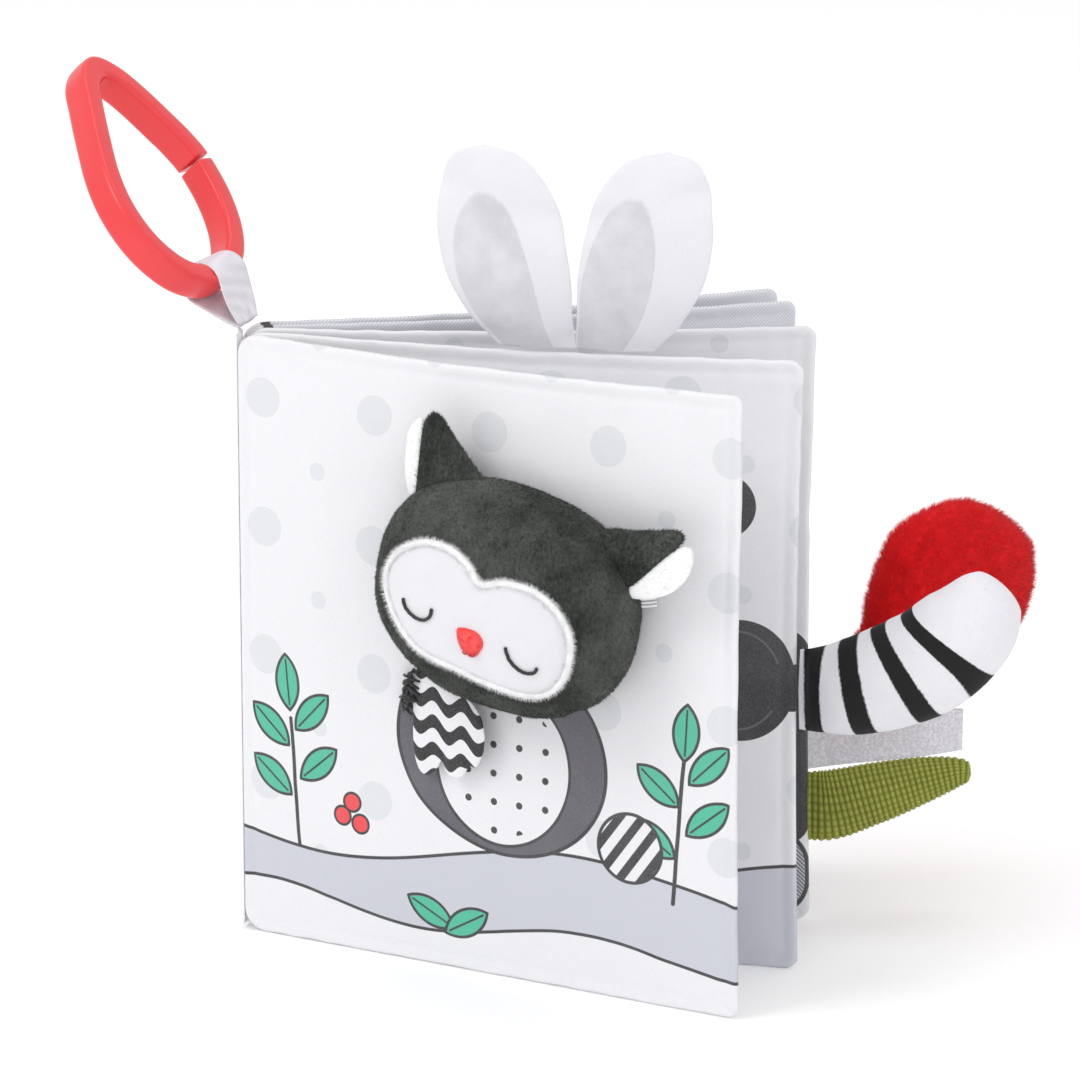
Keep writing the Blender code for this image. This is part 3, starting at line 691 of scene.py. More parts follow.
@dataclass(frozen=True)
class PileFinish:
    """Plush, fleece or fur: short fibres, with painted sheen and shade in lighter and darker
    patches.
    """

    name: str
    colour: Colour
    dark: Colour
    patch: float = 7
    fibre: float = 0.5
    depth: float = 0.25
    sheen: float = 0.35
    tint: Colour = (1, 1, 1)
    stripes: Rows = ()
    inner: Optional[Colour] = None
    inner_at: Pair = (0.39, 0.32)
    knobs: Pair = (0, 0)

    def make(self) -> Material:
        """Return the material: painted sheen and shade in light and dark patches that follow a
        fibre relief, over that relief.
        """
        board = Board(self.name)
        here = board.spot()
        sheen_and_relief_patches = board.noise(here, self.patch, 3, 0.6)
        fine = board.noise(here * (1, 1, 0.45), self.fibre, 2)
        # Painted sheen and shade: the colour is lighter where the patch and fibre noise raise the
        # relief and darker where it sinks.
        share = ((sheen_and_relief_patches - 0.36) * 2.2 + (fine - 0.5) * 0.9).clamp()
        if self.knobs[0]:
            share = share * 0.3 + 0.7
        colour = board.mix(share, self.dark, self.colour)
        across, along, _ = board.coordinate(2).parts()
        if self.stripes:
            x, z = across * 100, along * 100
            for shift, lean, bow, half, grow in self.stripes:
                off = x - (z * lean + z * z * bow + shift) + (fine - 0.5) * 0.9
                mask = board.inside(off.absolute() - (z * grow + half), 0.5)
                colour = board.mix(mask, colour, (0.014, 0.014, 0.015))
        if self.inner is not None:
            middle, half = self.inner_at
            beside = ((across - middle).absolute() * (1 / half)).work("POWER", 2.5)
            above = ((along - 0.17).higher(0) * (1 / 0.49)).work("POWER", 2.2)
            mask = board.inside(beside + above - 1 + (fine - 0.5) * 0.1, 0.1)
            colour = board.mix(mask, colour, board.mix(sheen_and_relief_patches, self.inner, self.colour))
        if self.knobs[0]:
            # Painted shade: the colour darkens in the grooves between the knob rows and knobs that
            # the tail's mesh carries.
            row = (along * (math.pi * self.knobs[0])).sine().absolute()
            knob = (across * (math.pi * self.knobs[1])).sine().absolute()
            colour = board.mix((row * (knob * 0.55 + 0.45)).clamp(), self.dark, colour)
        height = fine * self.depth + sheen_and_relief_patches * self.depth * 1.6
        return board.finish(colour, 0.88, height, Sheen_Weight=self.sheen, Sheen_Roughness=0.35,
                            Sheen_Tint=self.tint, Specular_IOR_Level=0.25)


@dataclass(frozen=True)
class SatinFinish:
    """Satin or twill ribbon and flaps."""

    name: str
    colour: Colour
    dark: Colour
    rib: float = 0.9
    depth: float = 0.03
    roughness: float = 0.34

    def make(self) -> Material:
        """Return the material: slanting ribs, or an even grain where rib is 0, with painted sheen
        on the raised ribs or grain and painted shade between them.
        """
        board = Board(self.name)
        here = board.spot()
        across, _, tall = here.parts()
        if self.rib:
            rib = ((across + tall) * (2 * math.pi / self.rib)).sine() * 0.5 + 0.5
        else:
            rib = ((board.noise(here, 0.8, 1) - 0.4) * 4).clamp()
        fine = board.noise(here, 0.5)
        # Painted sheen and shade: lighter on the rib crests and on flecks of raised grain as
        # painted glints, darker between them, following the relief.
        colour = board.mix((rib * 0.6 + fine * 0.5).clamp(), self.dark, self.colour)
        rough = board.noise(here, 3) * 0.16 + self.roughness
        return board.finish(colour, rough, rib * self.depth + fine * 0.02, Sheen_Weight=0.2)


@dataclass(frozen=True)
class PlasticFinish:
    """Moulded toy plastic."""

    name: str
    colour: Colour
    dark: Colour

    def make(self) -> Material:
        """Return the material: glossy, with a faint orange peel and handling marks."""
        board = Board(self.name)
        here = board.spot()
        cloud = board.noise(here, 16, 2)
        colour = board.mix(cloud, self.dark, self.colour)
        scuff = board.noise(here * (1, 1, 0.3), 1.6, 4)
        rough = scuff * 0.1 + 0.27
        height = board.noise(here, 3.4) * 0.03 + scuff * 0.002
        return board.finish(colour, rough, height, Coat_Weight=0.12, Coat_Roughness=0.2,
                            Specular_IOR_Level=0.4)


def give(obj: Piece, material: Material, body: str, slot: str,
         *nodes: str, fill: float = 0) -> Piece:
    """Finish a piece.

    Args:
        obj: The piece.
        material: Its material.
        body: The body that it rides on.
        slot: The material slot's name; not used.
        nodes: The nodes that it stands for.
        fill: How full a padded piece is, or 0 for one without padding; not used.

    Returns:
        The piece.
    """
    obj.data.materials.clear()
    obj.data.materials.append(material)
    if body:
        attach(obj, body)
    if nodes:
        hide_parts(*nodes)
    LOG.info("%s: %d faces", obj.name, len(obj.data.polygons))
    return obj


# The leaves

@dataclass
class Leaf:
    """One leaf: two printed cloth panels round a crinkle film and wadding."""

    where: LeafFrame
    front: Print
    back: Print
    seed: float
    cells: tuple[int, int] = (104, 112)
    wall: float = 0.4
    gather: float = 0.72
    corner: float = 3.2
    spine_corner: float = 6
    slack_from: float = 96
    spine_rise: float = 50
    edge_rise: float = 30
    pad_inset: float = 24
    clear: float = 0.15
    roll: float = 1.3
    valley: float = 0.22
    fold: float = 0.8
    pucker: float = 0.36
    ripple: float = 0.8
    wavy: float = 0.5

    def crown(self, u: Array, z: Array) -> Array:
        """Return how far the stuffing holds the cloth off the seam plane."""
        across = np.minimum(ease(u - HEM, self.spine_rise),
                            ease(LEAF_WIDTH - HEM - u, self.edge_rise))
        upright = np.minimum(ease(z - HEM, self.edge_rise),
                             ease(LEAF_HEIGHT - HEM - z, self.edge_rise))
        return LEAF_CROWN * across * upright

    def spread(self, s: Array) -> Array:
        """Crowd the grid towards the seams, where the cloth turns over."""
        return s - self.gather * np.sin(2 * np.pi * s) / (2 * np.pi)

    def outline(self, u: Array, z: Array) -> tuple[Array, Array]:
        """Return places on the leaf with its sides drawn in and its corners rounded."""
        corner = np.where(u > LEAF_WIDTH / 2, self.corner, self.spine_corner)
        a = np.maximum(1 - inset(u, LEAF_WIDTH) / corner, 0)
        b = np.maximum(1 - inset(z, LEAF_HEIGHT) / corner, 0)
        pull = 1 - np.maximum(a, b) / np.maximum(np.hypot(a, b), 1e-9)
        pull = np.where((a > 0) & (b > 0), pull, 0) * corner
        u = u - np.sign(u - LEAF_WIDTH / 2) * a * pull
        z = z - np.sign(z - LEAF_HEIGHT / 2) * b * pull
        drawn_u = u * (1 - DRAW_IN / LEAF_WIDTH * np.sin(np.pi * z / LEAF_HEIGHT))
        drawn_z = z * (1 - DRAW_IN / LEAF_HEIGHT * np.sin(np.pi * u / LEAF_WIDTH))
        return drawn_u, drawn_z

    def relief(self, u: Array, z: Array, side: int) -> Array:
        """Return the cloth's height: rolled seam, puckers along it and slack folds inside."""
        beside, over = inset(u, LEAF_WIDTH), inset(z, LEAF_HEIGHT)
        rim = np.minimum(beside, over)
        roll = round_over(rim / self.roll)
        seed = self.seed + side * 3.7
        along = np.where(beside < over, z, u + 400)
        pucker = wander(along, rim * 0.35, 5, seed) + 0.5 * wander(along, rim * 0.3, 2.6, seed + 1)
        pucker = pucker * np.exp(-rim / 6.5) * (1 - np.exp(-rim / 0.8))
        slack = np.abs(wander(u, z * 0.6, 30, seed + 2))
        slack = slack + 0.5 * np.abs(wander(u * 0.7, z, 15, seed + 3))
        valley = self.valley * np.exp(-((rim - 3.4) / 1.1) ** 2)
        fold = self.fold * slack * ease(rim, 12)
        return roll * (SEAM_HALF + self.crown(u, z) - valley - fold + self.pucker * pucker)

    def panel(self, side: int, picture: Print) -> None:
        """Make one cloth panel, with side -1 for the front and 1 for the back."""
        label = "front" if side < 0 else "back"
        name = f"{self.where.body}_{label}_panel"

        def place(s: Array, t: Array) -> Array:
            u, z = self.spread(s) * LEAF_WIDTH, self.spread(t) * LEAF_HEIGHT
            wavy = np.exp(-inset(z, LEAF_HEIGHT) / 9) * self.wavy
            free = 0 if self.front is Print.COVER else self.slack_from
            ripple = self.ripple * np.exp(-(LEAF_WIDTH - u) / 9) * ease(z - free, 14)
            across, up = self.outline(u, z)
            across = across - ripple * np.abs(wander(0 * z, z, 16, self.seed + 5))
            up = up - wavy * np.abs(wander(u, 0 * u, 11, self.seed)) * np.sign(z - LEAF_HEIGHT / 2)
            return self.where.world(across, side * self.relief(u, z, side), up)

        obj = Bench.cloth(f"{name}_cloth", self.cells, place, self.wall * MM, flip=side > 0,
                          uv=lambda s, t: np.stack([self.spread(s), self.spread(t)], axis=1))
        finish = ClothFinish(f"{name} print", picture)
        give(obj, finish.make(), self.where.body, "book_cloth", name)

    def filling(self, label: str, material: Material, low: float, thick: float, lumps: float,
                fill: float = 0) -> None:
        """Make the crinkle film or the wadding as a closed pad inside the leaf.

        Args:
            label: The piece's label.
            material: Its material.
            low: How far it lies above the front cloth.
            thick: Its thickness, or 0 to reach the back cloth.
            lumps: How uneven it is.
            fill: How full it is, or 0 for a film.
        """
        node = f"{self.where.body}_{label}"
        wide, tall = LEAF_WIDTH - 2 * self.pad_inset, LEAF_HEIGHT - 2 * self.pad_inset

        def place(s: Array, t: Array) -> Array:
            turn = 2 * np.pi * s
            reach = np.clip(t * 2, 0, 1) * np.clip(2 - t * 2, 0, 1)
            square = np.maximum(np.abs(np.cos(turn)), np.abs(np.sin(turn)))
            u = LEAF_WIDTH / 2 + wide / 2 * reach * np.cos(turn) / square
            z = LEAF_HEIGHT / 2 + tall / 2 * reach * np.sin(turn) / square
            crown = self.crown(u, z)
            bottom = self.clear - crown + low
            top = bottom + thick if thick else crown - self.clear
            bump = lumps * wander(u, z, 6, self.seed + 9) * inset(reach) * 2
            return self.where.world(u, np.where(t < 0.5, bottom, top) + bump, z)

        obj = Bench.cloth(f"{node}_inside", (48, 24), place)
        give(obj, material, self.where.body, label, node, fill=fill)

    def build(self, film: Material, wadding: Material) -> None:
        """Make the leaf's four pieces."""
        self.panel(-1, self.front)
        self.panel(1, self.back)
        self.filling("crinkle_film", film, low=0, thick=0.25, lumps=0.04)
        self.filling("wadding", wadding, low=0.55, thick=0, lumps=0.08, fill=0.35)


@dataclass
class Spine:
    """The folds of spine cloth behind the leaves, one over each hinge."""

    start: float = 0.1
    depth: float = 0.62
    slack: float = 0.05
    half: float = 1.05
    margin: float = 1
    grip: float = 1
    cloth: float = 0.3
    folds: tuple[tuple[str, str, LeafFrame, int], ...] = (
        ("leaf_3", "leaf_2", LeafFrame("spine_pleat_1", -1.7688, -2.1075, 23.25), -1),
        ("leaf_2", "front_cover", LeafFrame("spine_pleat_2", -1.0158, -4.8043, 7.8), -1),
        ("leaf_3", "leaf_4", LeafFrame("spine_pleat_3", -3.2067, 0.2951, 36.7), 1),
        ("leaf_4", "back_cover", LeafFrame("spine_pleat_4", -5.0983, 2.3595, 45.1), 1),
    )

    def build(self, material: Material) -> None:
        """Make each fold and bend it between its two leaves."""
        for near, far, where, side in self.folds:
            def place(s: Array, t: Array) -> Array:
                a = np.pi * (s - 0.5)
                z = self.margin + (LEAF_HEIGHT - 2 * self.margin) * t
                slack = self.slack * wander(z, s, 7, where.x)
                u = self.start - (self.depth + slack) * np.cos(a)
                return where.world(u, self.half * np.sin(a), z)

            obj = Bench.cloth(f"{where.body}_fold", (16, 90), place, self.cloth * MM, 0, True)
            give(obj, material, "", "spine_cloth", where.body)
            where.point(0, -side * self.grip, LEAF_HEIGHT / 2)
            where.point(0, side * self.grip, LEAF_HEIGHT / 2)
            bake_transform(obj)


# The front cover's head and wing

@dataclass(frozen=True)
class HeadEar:
    """One ear of the head: a plush cup with a fleece lining that shows along one side.

    It grows from its base on the cover, leaning from the u axis. Each row gives a distance
    along the ear, the middle there and the half width.
    """

    node: str
    base: Pair
    lean: float
    side: int
    seed: int
    cup: Rows
    lining: Rows


HEAD_EARS = (
    HeadEar("left_head_ear", base=(70.8, 129), lean=103, side=1, seed=21,
            cup=((-9, 0, 11), (0, -0.2, 10.4), (6, 0.3, 8), (12, 0.7, 5.5), (16.5, 0.8, 3.6),
                 (19.2, 0.4, 2), (20.4, 0.2, 0)),
            lining=((-4, 7, 2.5), (2, 9, 2.6), (8, 8.4, 2.8), (13, 7, 2.7), (17.5, 5.4, 2.2),
                    (20, 4.2, 0))),
    HeadEar("right_head_ear", base=(118, 118.5), lean=17, side=-1, seed=22,
            cup=((-9, -1.5, 8.5), (0, -0.9, 7.9), (6, -0.4, 6), (12, 0.6, 4), (17, 1.4, 2.5),
                 (19.4, 1.7, 1.3), (20.3, 1.8, 0)),
            lining=((-1, -8.4, 1.2), (4, -8.8, 2.5), (9, -8, 3.7), (14, -6.5, 4.5),
                    (18.5, -4.6, 4), (21, -3.4, 2.2), (22, -3, 0))),
)


@dataclass
class PlushHead:
    """The stuffed plush head with its fleece face, nose, ears and thread eyes."""

    where: LeafFrame
    wide: float = 36
    tall: float = 28.25
    deep: float = 29
    along: float = 87.4
    up: float = 104.5
    seat: float = COVER_SEAT
    tilt: float = 12
    square: float = 2.3
    fullness: float = 2.2
    widest: float = 0.32
    fleece: float = 1.6
    ear_depth: float = 9.3
    lump: float = 0.018
    seam_dip: float = 0.03
    middle: Pair = (1, -3)
    outline: Rows = (
        (-25.7, 2.3), (-25.3, 8), (-20.9, 12.9), (-13.2, 16), (-5.6, 15.3), (-0.1, 12.3),
        (3.9, 8.1), (10, 9), (17.3, 7.8), (22.9, 3.8), (26, -2.1), (26.2, -8), (24, -14.5),
        (19.5, -18.8), (14, -19.7), (6, -17.9), (-3.5, -14.9), (-14, -12), (-20.8, -6.5))
    nose_form: Rows = (
        (-3.8, 2.9), (-1.5, 3.9), (2.3, 3), (3.9, 0.3), (2, -3), (0, -3.9), (-2.6, -2.2))
    nose_at: Pair = (1.6, -6.7)
    nick: Rows = ((-0.8, 0.3), (-0.4, -0.4), (0.4, -0.4), (0.8, 0.3))
    nicks_at: Rows = ((0.5, -9.3), (2.5, -9.6))
    eyes: tuple[Rows, ...] = (
        ((-18.7, 1.4), (-17.6, -0.9), (-14.8, -2.6), (-12, -2.9), (-9.9, -1.6), (-9.3, 0.4)),
        ((11.3, -6.7), (12.2, -9.9), (14.2, -12.2), (16.2, -13.1), (18.1, -12.8), (18.9, -11.6)))
    ear_tack: Rows = (
        (119.8, -9, 106.2, 0.7), (121.9, -7.2, 106, 1), (124.4, -3.2, 105.9, 0.9))

    def turned(self, x: Array, z: Array, back: bool = False) -> tuple[Array, Array]:
        """Turn places clockwise with the head, or back again."""
        a = math.radians(-self.tilt if back else self.tilt)
        return x * math.cos(a) + z * math.sin(a), z * math.cos(a) - x * math.sin(a)

    def depth_at(self, x: Array, z: Array) -> Array:
        """Return how far the head stands out at places measured from its centre."""
        x, z = self.turned(x, z, back=True)
        reach = ((np.abs(x) / self.wide) ** self.square + (np.abs(z) / self.tall) ** self.square)
        reach = np.clip(reach, 0, 0.9999) ** (self.fullness / self.square)
        share = self.widest + (1 - self.widest) * (1 - reach) ** (1 / self.fullness)
        return self.deep * share

    def world(self, x: Array, out: Array, z: Array) -> Array:
        """Return places in the book's frame from the head's centre and its seat."""
        return self.where.world(self.along + x, self.seat - out, self.up + z)

    def on_face(self, x: float, z: float, lift: float) -> Vector:
        """Return one place over the face, lifted off the plush."""
        spot = np.array([x]), np.array([z])
        return Vector(self.world(spot[0], self.depth_at(*spot) + lift, spot[1])[0])

    def skull(self, material: Material) -> None:
        """Make the plush form with its dart and side seams, and its pile."""
        def place(s: Array, t: Array) -> Array:
            low, mid = 0.12, 0.34
            side = np.clip((t - low) / (mid - low), 0, 1)
            q = np.clip((t - mid) / (1 - mid), 0, 1) * np.pi / 2
            rise = self.widest * side + (1 - self.widest) * np.sin(q) ** (2 / self.fullness)
            reach = (1 - 0.1 * (1 - side) ** 2) * np.cos(q) ** (2 / self.fullness)
            reach = np.where(t < low, 0.9 * t / low, reach)
            a = 2 * np.pi * s
            x = self.wide * reach * rounded(np.cos(a), 2 / self.square)
            z = self.tall * reach * rounded(np.sin(a), 2 / self.square)
            out = self.deep * rise
            dart = np.exp(-((x - 4.6) / 0.9) ** 2) * ease(z - 16, 4)
            flank = np.exp(-((x - 27 + 0.004 * z * z) / 1.1) ** 2)
            lumps = wander(x + out, z - 0.4 * out, 17, 1)
            lumps = lumps + 0.5 * wander(x - out, z + out, 8, 2)
            seams = dart + 0.8 * flank
            scale = 1 + self.lump * lumps * side - self.seam_dip * seams * side
            x, z = self.turned(x * scale, z * scale)
            out = out * (1 + 0.01 * lumps * side - 0.028 * seams * side)
            return self.world(x, out, z)

        obj = Bench.cloth("plush_head_form", (128, 96), place)
        patch = loop_through(self.outline, np.linspace(0, 1, 76, endpoint=False)) - self.middle
        turns = np.arctan2(patch[:, 1], patch[:, 0])
        order = np.argsort(turns)
        rims = np.hypot(patch[:, 1], patch[:, 0])[order]

        def bare_face(p: Array) -> Array:
            x = p[:, 0] / MM - self.where.x - self.along - self.middle[0]
            z = p[:, 2] / MM - self.up - self.middle[1]
            limit = np.interp(np.arctan2(z, x), turns[order], rims, period=2 * np.pi)
            return np.where((np.hypot(z, x) < limit - 0.8) & (-p[:, 1] / MM > 12), 0, 1)

        def combed(p: Array) -> Array:
            return np.array([0.4, -0.2, -1]) + p * (8, 0, 0)

        Bench.grow(obj, Pile(34000, length=1, width=0.18, lean=0.65, seed=11), combed, bare_face)
        give(obj, material, "front_cover", "dark_plush", "plush_head", fill=0.9)

    def face(self, fleece: Material, trim: Material) -> None:
        """Make the fleece face and its fluffy edging."""
        def place(s: Array, t: Array) -> Array:
            rim = loop_through(self.outline, s)
            reach = np.sin(np.pi * t)
            x = self.middle[0] + (rim[:, 0] - self.middle[0]) * reach
            z = self.middle[1] + (rim[:, 1] - self.middle[1]) * reach
            top = 0.3 + self.fleece * np.sqrt(np.clip(1 - reach ** 12, 0, 1))
            lift = np.where(t > 0.5, top, -0.4) + 0.15 * wander(x, z, 9, 4) * (1 - reach)
            return self.world(x, self.depth_at(x, z) + lift, z)

        obj = Bench.cloth("face_patch_fleece", (112, 64), place)
        Bench.grow(obj, Pile(4000, length=0.35, width=0.1, lean=0.85, seed=12),
                   steady(0.2, 0, -1), ahead_of(18))
        give(obj, fleece, "front_cover", "white_fleece", "face_patch")
        rim = loop_through(self.outline, np.linspace(0, 1, 90, endpoint=False))
        path = [self.on_face(x, z, 1.15) for x, z in rim]
        edging = Bench.threads("face_edging", [path], 0.8 * MM, cyclic=True, sides=3)
        Bench.grow(edging, Pile(9000, length=1.5, width=0.12, lean=0.1, seed=13),
                   steady(0.3, 0, -1))
        give(edging, trim, "front_cover", "white_fleece")

    def features(self, nose: Material, thread: Material, red_thread: Material) -> None:
        """Make the nose and the stitched closed eyes."""
        def place(s: Array, t: Array) -> Array:
            reach = np.sin(np.pi * t)
            rim = loop_through(self.nose_form, s)
            x, z = self.nose_at[0] + rim[:, 0] * reach, self.nose_at[1] + rim[:, 1] * reach
            return self.world(x, self.depth_at(x, z) + 1.5 - 2.6 * np.cos(np.pi * t) - 0.4, z)

        obj = Bench.cloth("nose_fleece", (40, 28), place)
        Bench.grow(obj, Pile(2200, length=0.6, width=0.12, lean=0.45, seed=14),
                   steady(0.2, 0, -1), ahead_of(36))
        give(obj, nose, "front_cover", "coral_fleece", "nose")
        nicks = [[self.on_face(x + p, z + q, 3) for p, q in self.nick]
                 for x, z in self.nicks_at]
        give(Bench.threads("nose_stitches", nicks, 0.14 * MM), red_thread, "front_cover",
             "coral_fleece")
        strokes = []
        for eye in self.eyes:
            path = curve_through(eye, np.linspace(0, 1, 28))
            for first in range(0, 25, 3):
                run = path[first:first + 5]
                strokes.append([self.on_face(x, z, 2.05 + 0.28 * math.sin(
                    math.pi * k / (len(run) - 1))) for k, (x, z) in enumerate(run)])
        give(Bench.threads("eye_threads", strokes, 0.45 * MM), thread, "front_cover", "dark_plush")

    def ear(self, ear: HeadEar, looks: "Looks") -> None:
        """Make one ear: its plush cup and its fleece lining."""
        lean = math.radians(ear.lean)
        along = np.array([math.cos(lean), math.sin(lean)])
        across = np.array([-along[1], along[0]])

        def place_for(rows: Rows, thick: float, out: float) -> Place:
            widest = max(row[2] for row in rows)

            def place(s: Array, t: Array) -> Array:
                row = curve_through(rows, t)
                a = 2 * np.pi * s
                wide = np.where((t < 1e-6) | (t > 1 - 1e-6), 0, np.maximum(row[:, 2], 0))
                half = wide * np.cos(a)
                deep = thick * np.sqrt(wide / widest) * np.sin(a)
                u = ear.base[0] + along[0] * row[:, 0] + across[0] * (row[:, 1] + half)
                z = ear.base[1] + along[1] * row[:, 0] + across[1] * (row[:, 1] + half)
                lumps = 0.14 * wander(u, z, 6, ear.seed)
                n = self.seat - self.ear_depth - deep - out - 0.11 * half * ear.side + lumps
                return self.where.world(u, n, z)
            return place

        combed = steady(along[0], 0, along[1])
        obj = Bench.cloth(f"{ear.node}_plush", (40, 36), place_for(ear.cup, 2.4, 0))
        Bench.grow(obj, Pile(6500, length=1.2, width=0.18, lean=0.6, seed=ear.seed), combed)
        give(obj, looks.plush, "front_cover", "dark_plush", ear.node, fill=0.4)
        obj = Bench.cloth(f"{ear.node}_lining", (32, 28), place_for(ear.lining, 1.8, 0.3))
        Bench.grow(obj, Pile(2600, length=0.7, width=0.14, lean=0.6, seed=ear.seed + 50), combed)
        give(obj, looks.fluff, "front_cover", "white_fleece")

    def build(self, looks: "Looks") -> None:
        """Make the head and all that is sewn to it."""
        self.skull(looks.plush)
        self.face(looks.fleece, looks.fluff)
        self.features(looks.nose, looks.black_thread, looks.red_thread)
        for ear in HEAD_EARS:
            self.ear(ear, looks)
        tacks = [[self.where.point(u, n, z + k * step) for u, n, z, step in self.ear_tack]
                 for k in (-1, 0, 1)]
        give(Bench.threads("ear_tacks", tacks, 0.33 * MM), looks.white_thread, "front_cover",
             "white_fleece")


@dataclass
class WingFlap:
    """The crinkle wing with its scalloped end, stitched along its left side."""

    where: LeafFrame
    left: float = 54.8
    wide: float = 23.2
    bottom: float = 52
    tall: float = 27
    cloth: float = 1.3
    stand: float = 1.6
    bulge: float = 4.6
    tacks: int = 20
    top_edge: Rows = (
        (0, 1), (0.25, 0.98), (0.5, 0.94), (0.68, 0.88), (0.84, 0.79), (0.96, 0.66), (1, 0.5))
    low_edge: Rows = (
        (0, 0.5), (0.01, 0.22), (0.07, 0.05), (0.18, 0), (0.3, 0.07), (0.39, 0.17),
        (0.47, 0.06), (0.57, 0.03), (0.69, 0.07), (0.78, 0.18), (0.88, 0.19), (0.97, 0.33),
        (1, 0.5))

    def build(self, material: Material, thread: Material) -> None:
        """Make the flap and the clumps of thread that hold it."""
        def plan(s: Array, t: Array) -> Array:
            low, top = curve_through(self.low_edge, s), curve_through(self.top_edge, s)
            return low + (top - low) * t[:, None]

        def place(s: Array, t: Array) -> Array:
            at = plan(s, t)
            u, z = at[:, 0] * self.wide, at[:, 1] * self.tall
            rim = np.minimum(inset(s) * self.wide, inset(t) * self.tall)
            lift = self.stand + self.bulge * np.clip(at[:, 0], 0, 1) ** 1.4 * (1 - 0.25 * at[:, 0])
            puff = 0.8 * ease(rim, 6) + 0.45 * wander(u, z, 6.5, 5) * ease(rim, 4)
            return self.where.world(self.left + u, COVER_SEAT - lift - puff, self.bottom + z)

        obj = Bench.cloth("wing_flap_cloth", (72, 56), place, self.cloth * MM, uv=plan)
        give(obj, material, "wing", "striped_cloth", "wing_flap", fill=0.2)
        tacks = []
        for k in range(self.tacks):
            u = 54.9 + 0.9 * math.sin(k * 2.3) - 0.09 * k
            z = (77.6 if k < 11 else 71.9) - (k % 11) * 0.42
            way = math.radians(25 + 55 * math.sin(k * 1.9))
            out = np.array([-1, -0.3, 0.35, 1]) * (2.3 + 0.7 * math.sin(k * 3.1))
            tacks.append([self.where.point(u + q * math.cos(way) - 0.35 * h, -4.2 - h - 0.25 * q,
                                           z + q * math.sin(way) + 0.5 * h)
                          for q, h in zip(out, (0, 1.5, 1.7, 0.6))])
        obj = give(Bench.threads("wing_tacks", tacks, 0.36 * MM), thread, "", "striped_cloth")
        start = self.where.point(self.left - 1.5, COVER_SEAT, 74)
        end = self.where.point(self.left + 1.4, COVER_SEAT, 74)
        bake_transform(obj)


# Ears, tails and flap on the inner leaves

@dataclass
class FloppyEar:
    """A flat stuffed fleece ear with a grey inner face, sewn into a leaf's top edge."""

    where: LeafFrame
    node: str
    body: str
    along: float
    mirror: float
    height: float = 51.5
    width: float = 33
    thick: float = 4.4
    rows: Rows = (
        (0, 0.02, 0.3, 0.16), (0.07, -0.04, 0.35, 0.5), (0.16, -0.11, 0.41, 0.8),
        (0.35, -0.2, 0.49, 1), (0.55, -0.26, 0.5, 1), (0.72, -0.29, 0.465, 0.95),
        (0.87, -0.34, 0.375, 0.8), (0.965, -0.38, 0.235, 0.55), (1, -0.4, 0, 0))

    def build(self, material: Material) -> None:
        """Make the ear, slightly cupped towards the reader."""
        foot = sewn_edge(LEAF_HEIGHT, self.along, LEAF_WIDTH)

        def place(s: Array, t: Array) -> Array:
            row = curve_through(self.rows, t)
            a = 2 * np.pi * s
            half = self.width * np.maximum(row[:, 2], 0)
            half = np.where(t < 1e-6, 0, half)
            x = self.mirror * self.width * row[:, 1] + half * np.cos(a)
            cup = -1.6 * np.cos(a) ** 2 * ease(t, 0.5) * np.sin(np.pi * np.clip(t, 0, 1)) ** 0.5
            deep = self.thick / 2 * np.maximum(row[:, 3], 0) * np.sin(a)
            lumps = 0.6 * wander(x, t * self.height, 11, self.along) * ease(t, 0.2)
            high = row[:, 0] + 0.006 * x * self.mirror
            crease = np.exp(-((high - 0.68) / 0.07) ** 2) * ease(np.abs(np.cos(a)), 1.5)
            lumps = lumps + 1.3 * crease
            z = foot + self.height * row[:, 0]
            return self.where.world(self.along + x, deep + cup + lumps, z)

        def uv(s: Array, t: Array) -> Array:
            a = 2 * np.pi * s
            across = (1 + np.cos(a)) / 2 + np.where(np.sin(a) > 1e-6, 2, 0)
            return np.stack([across, t], axis=1)

        obj = Bench.cloth(f"{self.node}_fleece", (64, 64), place, uv=uv)
        Bench.grow(obj, Pile(9000, length=0.4, width=0.1, lean=0.88, seed=int(self.along)),
                   steady(0.1, 0, 1))
        give(obj, material, self.body, "ear_cloth", self.node, fill=0.3)


